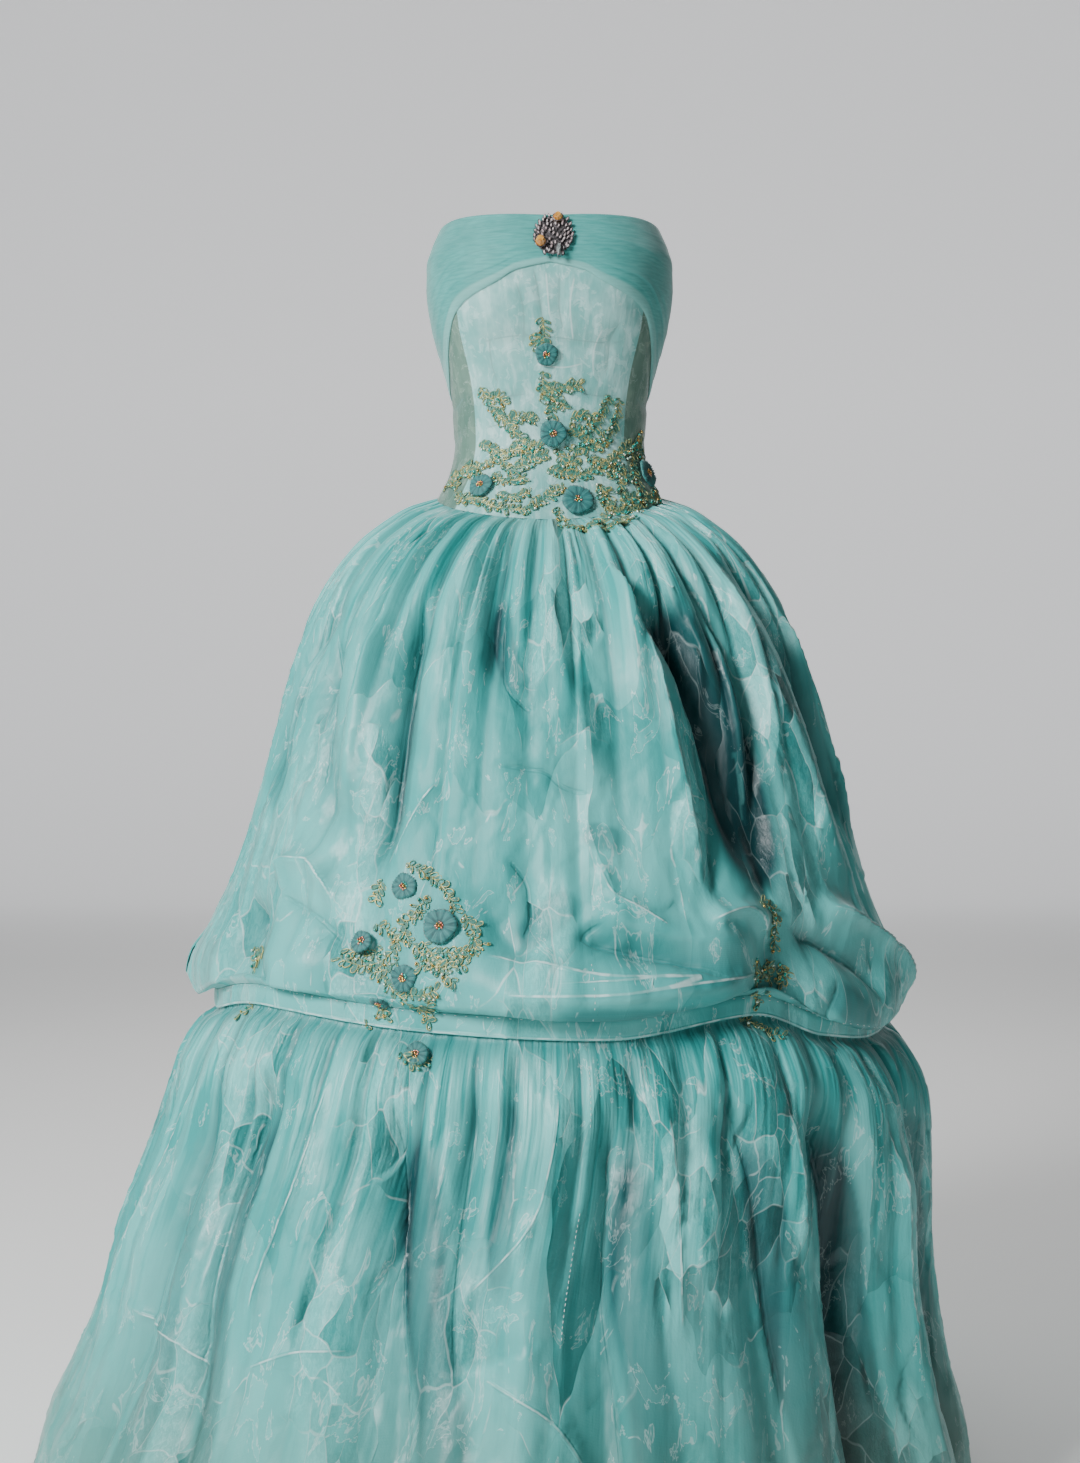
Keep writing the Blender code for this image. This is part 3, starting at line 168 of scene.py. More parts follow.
# Sharper creases that only the cloth's looks need, front first and like ones round the hidden sides
overskirtCreases = (
    (((-29, -150), (-28, -306), (-27.5, -470)), 5, 7, -11),
    (((-53, -190), (-46, -290), (-43, -400)), 5, 12, -6),
    (((-18.5, -362), (-22.5, -402), (-27, -458)), 4, 8, 6),
    (((-10, -172), (-8.5, -266), (-2, -304)), 10, 4, -7),
    (((-11.5, -350), (-1.5, -356), (2, -372), (8, -380)), 8, 5, -5),
    (((-8, -434), (-3.5, -468), (-3, -500), (-4.5, -524)), 5, 8, -7),
    (((13, -130), (19, -224), (21, -346), (24, -500)), 14, 3, 9),
    (((17, -160), (25, -224), (28, -346), (26, -426), (23, -520)), 7, 12, -10),
    (((33, -114), (38, -200), (40, -300), (37, -430)), 8, 5, -9),
    (((54, -108), (58, -200), (62, -300), (68, -420)), 6, 10, -8),
    (((7, -444), (9, -474), (13, -492), (18, -516)), 6, 8, 6),
    (((35, -546), (20, -556), (6, -566), (-10, -566)), 5, 9, 7),
    (((33, -554), (22, -580), (6, -590), (-10, -582)), 6, 7, -7),
    (((29, -562), (14, -536), (4.5, -518), (9, -498)), 5, 6, -6),
    (((25.5, -548), (9.5, -556), (-1.5, -546), (-12, -530)), 6, 6, 6),
    (((22, -508), (28.5, -496), (36, -528)), 5, 5, 9),
    (((-50, -466), (-45, -450), (-40, -450), (-30, -512)), 6, 4, 8),
    (((-47.5, -482), (-38, -500), (-29.5, -530)), 7, 5, -7),
    (((-55, -490), (-50, -542), (-46, -584)), 5, 6, -8),
    (((38.5, -512), (50, -544), (59.5, -584)), 5, 6, -8),
    (((45.5, -490), (61.5, -540), (73.5, -596)), 6, 5, 8),
    (((46.5, -552), (43, -588), (51.5, -610)), 5, 5, -6),
    (((63, -160), (70, -280), (76, -440)), 12, 5, 7),
    (((-70, -220), (-76, -330), (-72, -450)), 5, 10, -8),
    (((-100, -160), (-104, -300), (-102, -460)), 6, 10, -9),
    (((-126, -170), (-131, -320), (-128, -480)), 10, 5, -8),
    (((-150, -150), (-151, -290), (-146, -450)), 5, 8, -9),
    (((-172, -140), (-174, -330), (-170, -500)), 6, 9, -8),
    (((97, -160), (101, -320), (98, -480)), 5, 9, -9),
    (((120, -150), (124, -280), (126, -450)), 9, 5, -8),
    (((146, -160), (147, -330), (152, -500)), 6, 8, -9),
    (((170, -150), (167, -310), (172, -470)), 5, 9, -8),
    (((92, -548), (116, -566), (140, -560), (156, -545)), 6, 8, 7),
    (((164, -548), (184, -580), (212, -574), (232, -548)), 6, 8, 7),
    (((-122, -552), (-104, -568), (-84, -562)), 6, 8, 7),
)
# Painted shade: flat dark bands laid where the folds stand in shadow
overskirtShadeBands = (
    # path, width before it and after it, how dark the painted shade is in this band
    (((21, -150), (29, -224), (34, -346), (34, -440), (33, -515)), 36, 40, .80),
    (((33, -280), (35, -370), (34, -460)), 13, 18, .55),
    (((-12, -160), (-9.5, -230), (-4, -296)), 12, 15, .42),
    (((5, -408), (8, -420), (12, -424)), 14, 10, .35),
    (((-26.5, -250), (-25.5, -340), (-25.5, -430)), 13, 10, .34),
    (((44, -140), (49, -300), (54, -430)), 14, 18, .42),
    (((61, -180), (66, -320), (74, -470)), 14, 22, .40),
    (((5, -470), (0, -500), (-6, -530)), 17, 13, .30),
    (((30, -584), (14, -590), (-4, -588)), 12, 10, .42),
    (((42, -560), (50, -590), (58, -616)), 14, 16, .48),
    (((-58, -250), (-60, -330), (-56, -420)), 14, 20, .28),
    (((-98, -200), (-102, -340), (-100, -450)), 18, 26, .30),
    (((-124, -180), (-127, -330), (-126, -470)), 26, 20, .33),
    (((-150, -200), (-150, -340), (-146, -460)), 20, 28, .30),
    (((96, -200), (99, -340), (97, -470)), 26, 20, .33),
    (((121, -190), (126, -330), (130, -460)), 20, 28, .33),
    (((150, -200), (150, -340), (153, -480)), 24, 24, .30),
    (((174, -200), (174, -340), (176, -470)), 24, 24, .30),
)
# Painted shade bands on the lower tier
tierShadeBands = (
    (((-19, -650), (-14, -790), (-7, -1000), (-6, -1160)), 20, 26, .55),
    (((9, -650), (12, -820), (16, -1000), (17, -1160)), 18, 24, .50),
    (((24, -660), (30, -800), (36, -1020), (38, -1160)), 18, 26, .50),
    (((38, -650), (44, -830), (46, -1020), (48, -1160)), 20, 26, .60),
    (((-38, -650), (-40, -790), (-36, -1010), (-34, -1160)), 18, 22, .45),
    (((-48, -660), (-48, -840), (-46, -1020), (-46, -1160)), 18, 20, .42),
    (((65, -660), (70, -820), (73, -1020), (74, -1160)), 20, 26, .50),
    (((-6, -640), (-5, -740), (-2, -880)), 10, 14, .40),
    (((-86, -660), (-90, -850), (-93, -1150)), 24, 28, .30),
    (((-114, -660), (-118, -850), (-117, -1150)), 24, 28, .30),
    (((-136, -660), (-138, -850), (-138, -1150)), 28, 24, .30),
    (((-159, -660), (-160, -850), (-158, -1150)), 24, 28, .30),
    (((92, -660), (96, -850), (96, -1150)), 24, 28, .30),
    (((112, -660), (115, -850), (119, -1150)), 28, 24, .30),
    (((134, -660), (136, -850), (141, -1150)), 24, 28, .30),
    (((156, -660), (158, -850), (159, -1150)), 24, 28, .30),
    (((178, -660), (180, -850), (178, -1150)), 24, 28, .30),
)
tierCreases = (
    (((-22, -640), (-17, -762), (-11, -986), (-10, -1150)), 6, 8, -10),
    (((-10, -626), (-9, -758), (-5.5, -968)), 5, 7, -7),
    (((7, -628), (9, -802), (12.5, -988), (14, -1150)), 7, 5, -8),
    (((20.5, -630), (28, -768), (33.5, -1010)), 5, 8, -7),
    (((36, -636), (42.5, -830), (43, -1026), (45, -1150)), 6, 9, -10),
    (((-41, -628), (-42.5, -782), (-39.5, -1010)), 5, 8, -8),
    (((-51, -646), (-50, -840), (-48, -1026)), 6, 7, -7),
    (((62.5, -650), (68, -818), (70, -1030)), 7, 7, -8),
    (((-30, -640), (-31, -760), (-33, -900)), 8, 5, 7),
    (((-57, -660), (-61, -800), (-66, -1000)), 8, 5, 6),
    (((1, -640), (0, -760), (-8, -860)), 5, 9, 6),
    (((14, -660), (17, -780), (19, -900)), 9, 4, 7),
    (((30, -640), (34, -740), (36, -840)), 8, 4, 6),
    (((50, -640), (54, -800), (56, -1010)), 9, 5, 7),
    (((-33, -930), (-24, -900), (-18, -896)), 5, 6, 6),
    (((-60, -905), (-46, -916), (-38, -940)), 5, 6, 5),
    (((-5, -905), (4, -950), (10, -1010)), 5, 6, 6),
    (((-9, -1010), (2, -1040), (9, -1040)), 5, 5, 5),
    (((-80, -660), (-84, -850), (-88, -1100)), 6, 9, -8),
    (((-107, -640), (-110, -840), (-111, -1120)), 7, 9, -9),
    (((-130, -650), (-132, -850), (-131, -1120)), 9, 6, -8),
    (((-152, -640), (-154, -840), (-153, -1120)), 6, 9, -9),
    (((-174, -650), (-176, -850), (-175, -1120)), 8, 7, -8),
    (((79, -650), (81, -840), (82, -1110)), 8, 6, -8),
    (((98, -650), (101, -850), (102, -1120)), 6, 9, -9),
    (((118, -650), (120, -850), (125, -1120)), 9, 6, -8),
    (((140, -650), (141, -850), (146, -1120)), 6, 8, -9),
    (((161, -640), (163, -840), (163, -1120)), 8, 6, -9),
)


def monotone(table, at, field=1):
    xs = np.array([row[0] for row in table], float)
    ys = np.array([row[field] for row in table], float)
    at = np.clip(np.asarray(at, float), xs[0], xs[-1])
    step = np.diff(xs)
    rise = np.diff(ys) / step
    slope = np.concatenate(([rise[0]], np.zeros(len(xs) - 2), [rise[-1]]))
    together = rise[:-1] * rise[1:] > 0
    total = np.where(together, rise[:-1] + rise[1:], 1)
    slope[1:-1] = np.where(together, 2 * rise[:-1] * rise[1:] / total, 0)
    k = np.clip(np.searchsorted(xs, at) - 1, 0, len(step) - 1)
    t = (at - xs[k]) / step[k]
    start = (1 + 2 * t) * (1 - t) ** 2 * ys[k] + t * (1 - t) ** 2 * step[k] * slope[k]
    return start + t * t * (3 - 2 * t) * ys[k + 1] + t * t * (t - 1) * step[k] * slope[k + 1]


def ramp(value, low, high):
    t = np.clip((value - low) / (high - low), 0, 1)
    return t * t * (3 - 2 * t)


def wrapped(angle):
    return (np.asarray(angle, float) + 180) % 360 - 180


def stacked(x, y, z):
    return np.stack(np.broadcast_arrays(x, y, z), axis=-1)


def waistSeam(angle):
    forward = np.maximum(np.cos(np.radians(angle)), 0)
    return bodiceShape["basqueSide"] - bodiceShape["basqueDip"] * forward ** 1.5


def hemLine(angle):
    return monotone(overskirtShape["hem"], wrapped(angle))


def body(angle, height):
    turn = np.radians(angle)
    sine, cosine = np.sin(turn), np.cos(turn)
    halfWidth = monotone(bodiceShape["sections"], height, 1)
    front, back = (monotone(bodiceShape["sections"], height, k) for k in (2, 3))
    power = bodiceShape["roundOut"]
    swell = (np.abs(sine) ** power + np.abs(cosine) ** power) ** (-1 / power)
    offCup = (np.abs(wrapped(angle)) - bodiceShape["cupAngle"]) / bodiceShape["cupSpread"][0]
    rise = (height - bodiceShape["cupHeight"]) / bodiceShape["cupSpread"][1]
    cup = bodiceShape["cupProud"] * np.exp(-offCup ** 2 - rise ** 2)
    depth = np.where(cosine > 0, front, back)
    return stacked((halfWidth * swell + cup) * sine, -(depth * swell + cup) * cosine, height)


def normalOf(surface, angle, run, runStep=.006, angleStep=.4):
    around = surface(angle + angleStep, run) - surface(angle - angleStep, run)
    down = surface(angle, run + runStep) - surface(angle, run - runStep)
    normal = np.cross(down, around)
    return normal / np.linalg.norm(normal, axis=-1, keepdims=True)


def bodiceHeight(angle, level):
    side = np.abs(wrapped(angle))
    top = monotone(bodiceShape["topEdge"], side)
    middle = monotone(bodiceShape["drapeEdge"], side)
    lower = middle + (waistSeam(angle) - middle) * (level - 1)
    return np.where(level < 1, top + (middle - top) * level, lower)


def bodiceOuter(angle, level):
    height = bodiceHeight(angle, level)
    middle = monotone(bodiceShape["drapeEdge"], np.abs(wrapped(angle)))
    inset = bodiceShape["drapeStep"] * ramp(height, middle - 24, middle - 3)
    return body(angle, height) - normalOf(body, angle, height, -1) * inset[..., None]


def overskirtBase(angle, run):
    run = np.clip(run, -.02, 1.02)
    turn = np.radians(angle)
    seam = waistSeam(angle)
    start = body(angle, seam)
    girths = overskirtShape["girths"]
    growth = monotone(girths, run) - girths[0][1]
    deeper = np.where(np.cos(turn) > 0, overskirtShape["frontGrowth"], overskirtShape["backGrowth"])
    bottom = hemLine(angle) + overskirtShape["bandHeight"]
    height = seam - bodiceShape["seamGap"] + (bottom - seam) * run
    return stacked(start[..., 0] + growth * np.sin(turn), start[..., 1] - growth * deeper * np.cos(turn), height)


def tierBase(angle, run):
    turn = np.radians(angle)
    girths = tierShape["girths"]
    growth = monotone(girths, run) - girths[0][1]
    rim = overskirtBase(angle, np.ones_like(turn))
    tucked = 1 - tierShape["behindBand"] / np.hypot(rim[..., 0], rim[..., 1])
    deeper = np.where(np.cos(turn) > 0, tierShape["frontGrowth"], tierShape["backGrowth"])
    top = hemLine(angle) + tierShape["tuck"]
    x = rim[..., 0] * tucked + growth * np.sin(turn) + monotone(girths, run, 2)
    y = rim[..., 1] * tucked - growth * deeper * np.cos(turn)
    return stacked(x, y, top + (tierShape["hem"] - top) * run)


def gatherSpots(count):
    k = np.arange(count)
    return 360 * (k + .28 * np.sin(2.3 * k) + .18 * np.sin(5.1 * k + 1)) / count


def gatherWave(shape, angle, run):
    # rounded ridges between pinched valleys, each as deep as its own neighbourhood says
    count = shape["gathers"]
    k = np.arange(-3, count + 3)
    spots = gatherSpots(count)[k % count] + 360 * (k // count)
    uneven = 1 + .45 * np.sin(1.7 * (k % count) + .6) * np.sin(.61 * (k % count))
    at = np.asarray(angle, float) % 360
    phase = np.interp(at, spots, k)
    swing = 2 * np.abs(np.cos(np.pi * phase / 2)) ** .8 - 1
    return swing * np.interp(at, spots, uneven) * monotone(shape["gatherDepth"], run), swing


def foldRelief(folds, angle, height, radius, endFade=.22, blunt=1.5):
    # heights of all folds at each point, how deep in a valley it is and how far from each kind of line
    relief, valley = np.zeros(np.shape(angle)), np.zeros(np.shape(angle))
    lines = {key: np.full(np.shape(angle), 99.) for key in ("ridgeSide", "ridgeNear", "creaseSide", "creaseNear")}
    scale = math.radians(radius)
    for path, before, after, depth in folds:
        stations = np.linspace(0, 1, len(path))
        fine = np.linspace(0, 1, 13)
        track = np.stack([monotone([(s, p[0] * scale) for s, p in zip(stations, path)], fine),
                          monotone([(s, p[1]) for s, p in zip(stations, path)], fine)], axis=-1)
        middle = path[len(path) // 2][0]
        points = np.stack([(wrapped(angle - middle) + middle) * scale, height], axis=-1)
        nearest, side, along = np.full(np.shape(angle), 1e9), np.zeros(np.shape(angle)), np.zeros(np.shape(angle))
        for k in range(len(track) - 1):
            run = track[k + 1] - track[k]
            t = np.clip(((points - track[k]) @ run) / (run @ run), 0, 1)
            off = points - track[k] - t[..., None] * run
            distance = np.hypot(off[..., 0], off[..., 1])
            closer = distance < nearest
            nearest = np.where(closer, distance, nearest)
            side = np.where(closer, run[0] * off[..., 1] - run[1] * off[..., 0], side)
            along = np.where(closer, (k + t) / (len(track) - 1), along)
        width = np.where(side > 0, after, before)
        taper = ramp(along, 0, max(.22, endFade)) * ramp(1 - along, 0, endFade)
        share = taper * np.exp(-(nearest / width) ** blunt)
        relief += depth * share
        if depth < 0:
            valley = np.maximum(valley, share * min(1, -depth / 18))
        kind = "crease" if depth < 0 else "ridge"
        apart = nearest + 9 * (1 - taper)
        closer = apart < lines[kind + "Near"]
        lines[kind + "Side"] = np.where(closer, np.where(side > 0, nearest, -nearest), lines[kind + "Side"])
        lines[kind + "Near"] = np.where(closer, apart, lines[kind + "Near"])
    return relief, valley, lines


def hollowShade(hollows, angle, height, radius):
    # painted shade in flat dark bands with firm edges: how far inside one each point is, and how dark that one is
    inside, shade = np.zeros(np.shape(angle)), np.zeros(np.shape(angle))
    for path, before, after, dark in hollows:
        share = foldRelief(((path, before, after, -18),), angle, height, radius, .32, 2.6)[1]
        shade = np.where(share > inside, dark, shade)
        inside = np.maximum(inside, share)
    return {"shadeBand": inside, "shadeBandDark": shade}


def facets(across, down, size, stretch, turn, seed):
    # stiff cloth breaks into flat facets: distance to the nearest crease, and a value for each facet
    spin = math.radians(turn)
    u = (across * math.cos(spin) + down * math.sin(spin)) / size
    v = (down * math.cos(spin) - across * math.sin(spin)) / (size * stretch)
    u = u + .35 * np.sin(v * 1.7 + seed) + .12 * np.sin(v * 5.3)
    v = v + .30 * np.sin(u * 1.9 + 2 * seed)
    cellU, cellV = np.floor(u), np.floor(v)

    def scatter(i, j, k):
        value = np.sin(i * 127.1 + j * 311.7 + k * 74.7 + seed * 19.19) * 43758.5453
        return value - np.floor(value)

    best, second, tone = np.full(u.shape, 9.), np.full(u.shape, 9.), np.zeros(u.shape)
    for i in (-1, 0, 1):
        for j in (-1, 0, 1):
            a, b = cellU + i, cellV + j
            distance = np.hypot(a + scatter(a, b, 1) - u, b + scatter(a, b, 2) - v)
            closer = distance < best
            second = np.where(closer, best, np.minimum(second, distance))
            tone = np.where(closer, scatter(a, b, 3), tone)
            best = np.where(closer, distance, best)
    return (second - best) * size / 2, tone


crumple = {
    # size and stretch of facets, their turn, how high a facet stands, how sharp its crease is
    "large": (52, 2.5, 8, 3.0, 1.0),
    "small": (23, 1.6, -31, .9, .5),
}


def crumpled(across, down, amount, seed):
    relief = np.zeros(across.shape)
    for k, (size, stretch, turn, high, sharp) in enumerate(crumple.values()):
        edge, tone = facets(across, down, size, stretch, turn, seed + k)
        relief += high * (2 * tone - 1) * (1 - np.exp(-edge / (.22 * size)))
        relief += sharp * np.exp(-(edge / 2.2) ** 2) * np.where(tone > .5, 1, -1)
    return relief * amount


def clothPiece(name, angles, rows, place, thick):
    # a grid sheet set on the form; place gives points, distances for the weave and point attributes
    sheet = bmesh.new()
    columns, lines = len(angles) - 1, len(rows) - 1
    bmesh.ops.create_grid(sheet, x_segments=columns, y_segments=lines, size=.5)
    mesh = bpy.data.meshes.new(name)
    sheet.to_mesh(mesh)
    borders = [edge.is_boundary for edge in sheet.edges]
    sheet.free()
    flat = np.zeros(len(mesh.vertices) * 3)
    mesh.vertices.foreach_get("co", flat)
    i = np.rint((flat[0::3] + .5) * columns).astype(int)
    j = lines - np.rint((flat[1::3] + .5) * lines).astype(int)
    angle, row = np.meshgrid(angles, rows, indexing="ij")
    points, across, down, fields = place(angle, row)
    mesh.vertices.foreach_set("co", (points[i, j] * mm).astype(np.float32).ravel())
    corner = np.zeros(len(mesh.loops), int)
    mesh.loops.foreach_get("vertex_index", corner)
    weave = np.stack([across[i, j], down[i, j]], axis=-1)[corner] * mm
    mesh.uv_layers.new(name="cloth").data.foreach_set("uv", weave.astype(np.float32).ravel())
    for key, values in fields.items():
        mesh.attributes.new(key, "FLOAT", "POINT").data.foreach_set("value", values[i, j].astype(np.float32))
    mesh.shade_smooth()
    mesh.edges.foreach_set("use_edge_sharp", borders)
    piece = bpy.data.objects.new(name, mesh)
    bpy.context.scene.collection.objects.link(piece)
    wall = piece.modifiers.new("wall", "SOLIDIFY")
    wall.thickness = thick * mm
    wall.offset = -1
    return piece


# Materials

def nodeIn(tree, kind, settings=None, **values):
    node = tree.nodes.new(kind)
    for key, value in (settings or {}).items():
        setattr(node, key, value)
    for key, value in values.items():
        node.inputs[key].default_value = value
    return node


def wire(tree, source, target):
    tree.links.new(source, target)


def mathNode(tree, operation, a, b=None, clamp=False):
    node = nodeIn(tree, "ShaderNodeMath", {"operation": operation, "use_clamp": clamp})
    for socket, value in zip(node.inputs, (a, b)):
        if isinstance(value, (int, float)):
            socket.default_value = value
        elif value is not None:
            wire(tree, value, socket)
    return node.outputs[0]


def span(tree, value, low, high, outLow=0., outHigh=1.):
    node = nodeIn(tree, "ShaderNodeMapRange", {"interpolation_type": "SMOOTHSTEP"})
    for socket, number in zip(list(node.inputs)[1:5], (low, high, outLow, outHigh)):
        socket.default_value = number
    wire(tree, value, node.inputs[0])
    return node.outputs[0]


def blendColour(tree, share, first, second):
    node = nodeIn(tree, "ShaderNodeMix", {"data_type": "RGBA"})
    colourSockets = [socket for socket in node.inputs if socket.type == "RGBA"]
    for socket, value in ((node.inputs[0], share), (colourSockets[0], first), (colourSockets[1], second)):
        if isinstance(value, (int, float)):
            socket.default_value = value
        elif isinstance(value, tuple):
            socket.default_value = (*value, 1)
        else:
            wire(tree, value, socket)
    return next(socket for socket in node.outputs if socket.type == "RGBA")


def noise(tree, vector, scale, detail=2., rough=.5, distortion=0.):
    node = nodeIn(tree, "ShaderNodeTexNoise", Scale=scale, Detail=detail, Roughness=rough, Distortion=distortion)
    wire(tree, vector, node.inputs["Vector"])
    return node.outputs[0]


def attribute(tree, name):
    return nodeIn(tree, "ShaderNodeAttribute", {"attribute_name": name}).outputs["Fac"]


def newMaterial(name):
    material = bpy.data.materials.new(name)
    material.use_nodes = True
    tree = material.node_tree
    return material, tree, tree.nodes["Principled BSDF"]


def newGroup(name, inputs, outputs):
    group = bpy.data.node_groups.new(name, "ShaderNodeTree")
    for key, kind, value in inputs:
        socket = group.interface.new_socket(name=key, in_out="INPUT", socket_type=kind)
        if value is not None:
            socket.default_value = value
    for key, kind in outputs:
        group.interface.new_socket(name=key, in_out="OUTPUT", socket_type=kind)
    return group, group.nodes.new("NodeGroupInput"), group.nodes.new("NodeGroupOutput")


def groupNode(tree, group, vector, **values):
    node = tree.nodes.new("ShaderNodeGroup")
    node.node_tree = group
    wire(tree, vector, node.inputs["Vector"])
    for key, value in values.items():
        node.inputs[key].default_value = value
    return node


def makeThreadGroup():
    # crossing threads of a plain weave, finer or coarser by Threads per metre
    group, given, made = newGroup("plainWeave", (("Vector", "NodeSocketVector", None),
                                                 ("Threads", "NodeSocketFloat", 1400.)),
                                  (("Height", "NodeSocketFloat"),))
    parts = group.nodes.new("ShaderNodeSeparateXYZ")
    wire(group, given.outputs["Vector"], parts.inputs[0])
    lines = []
    for k in (0, 1):
        turns = mathNode(group, "MULTIPLY", parts.outputs[k], given.outputs["Threads"])
        lines.append(mathNode(group, "ABSOLUTE", mathNode(group, "SINE", turns)))
    wire(group, mathNode(group, "MULTIPLY", *lines), made.inputs["Height"])
    return group


def makeGlintGroup():
    # milky islands with bright rims, as crisp organza shows where its facets catch the light
    group, given, made = newGroup("organzaGlint", (("Vector", "NodeSocketVector", None),
                                                   ("Scale", "NodeSocketFloat", 26.),
                                                   ("Level", "NodeSocketFloat", .56)),
                                  (("Milk", "NodeSocketFloat"), ("Rim", "NodeSocketFloat")))
    field = nodeIn(group, "ShaderNodeTexNoise", Detail=4., Roughness=.62, Distortion=1.1)
    wire(group, given.outputs["Vector"], field.inputs["Vector"])
    wire(group, given.outputs["Scale"], field.inputs["Scale"])
    above = mathNode(group, "SUBTRACT", field.outputs[0], given.outputs["Level"])
    wire(group, span(group, above, -.01, .03), made.inputs["Milk"])
    wire(group, span(group, mathNode(group, "ABSOLUTE", above), .016, .002), made.inputs["Rim"])
    return group


def makeFacetGroup():
    # stiff cloth breaks into flat facets, each with its own tone and tilt, parted by thin creases
    group, given, made = newGroup("organzaFacets", (("Vector", "NodeSocketVector", None),
                                                    ("Scale", "NodeSocketFloat", 15.),
                                                    ("Warp", "NodeSocketFloat", .02),
                                                    ("Line", "NodeSocketFloat", .02)),
                                  (("Tone", "NodeSocketFloat"), ("Crease", "NodeSocketFloat"),
                                   ("Tilt", "NodeSocketFloat")))
    drift = nodeIn(group, "ShaderNodeTexNoise", Scale=16., Detail=2., Roughness=.5)
    wire(group, given.outputs["Vector"], drift.inputs["Vector"])
    centred = nodeIn(group, "ShaderNodeVectorMath", {"operation": "SUBTRACT"})
    wire(group, drift.outputs[1], centred.inputs[0])
    centred.inputs[1].default_value = (.5, .5, .5)
    pushed = nodeIn(group, "ShaderNodeVectorMath", {"operation": "SCALE"})
    wire(group, centred.outputs[0], pushed.inputs[0])
    wire(group, given.outputs["Warp"], pushed.inputs["Scale"])
    place = nodeIn(group, "ShaderNodeVectorMath", {"operation": "ADD"})
    wire(group, given.outputs["Vector"], place.inputs[0])
    wire(group, pushed.outputs[0], place.inputs[1])
    cell = nodeIn(group, "ShaderNodeTexVoronoi", {"feature": "F1", "voronoi_dimensions": "2D"})
    border = nodeIn(group, "ShaderNodeTexVoronoi", {"feature": "DISTANCE_TO_EDGE", "voronoi_dimensions": "2D"})
    for node in (cell, border):
        wire(group, place.outputs[0], node.inputs["Vector"])
        wire(group, given.outputs["Scale"], node.inputs["Scale"])
    away = nodeIn(group, "ShaderNodeVectorMath", {"operation": "SUBTRACT"})
    wire(group, place.outputs[0], away.inputs[0])
    wire(group, cell.outputs["Position"], away.inputs[1])
    lean = nodeIn(group, "ShaderNodeVectorMath", {"operation": "SUBTRACT"})
    wire(group, cell.outputs["Color"], lean.inputs[0])
    lean.inputs[1].default_value = (.5, .5, .5)
    tilt = nodeIn(group, "ShaderNodeVectorMath", {"operation": "DOT_PRODUCT"})
    wire(group, away.outputs[0], tilt.inputs[0])
    wire(group, lean.outputs[0], tilt.inputs[1])
    wire(group, tilt.outputs["Value"], made.inputs["Tilt"])
    parts = group.nodes.new("ShaderNodeSeparateColor")
    wire(group, cell.outputs["Color"], parts.inputs[0])
    wire(group, parts.outputs[0], made.inputs["Tone"])
    share = mathNode(group, "DIVIDE", border.outputs["Distance"], given.outputs["Line"])
    wire(group, span(group, share, 1., .25), made.inputs["Crease"])
    return group


weaveGroup, glintGroup, facetGroup = makeThreadGroup(), makeGlintGroup(), makeFacetGroup()

# pale and mid are the cloth's own tones; the third colour is painted shade for recesses, creases and shade bands; rim
# is painted highlight for bright lines
organzaLook = {
    "pale": (.21, .70, .67), "mid": (.022, .36, .345), "shadeColour": (.001, .052, .060), "rim": (.80, .98, .96),
}
tierTint = {"colour": (.11, .17, .12), "from": -.84, "to": -1.20, "most": .60}


def drawnLine(tree, kind, wide):
    # a thin line where the signed distance passes nought, cut off where the plain distance is large
    side = mathNode(tree, "ABSOLUTE", attribute(tree, kind + "Side"))
    return mathNode(tree, "MULTIPLY", span(tree, side, wide, wide * .3), span(tree, attribute(tree, kind + "Near"), 7., 3.))


def summed(tree, *shares):
    # adds the heights or tones given as (value, share)
    total = 0.
    for value, share in shares:
        part = mathNode(tree, "MULTIPLY", value, share)
        total = mathNode(tree, "ADD", part, total)
    return total


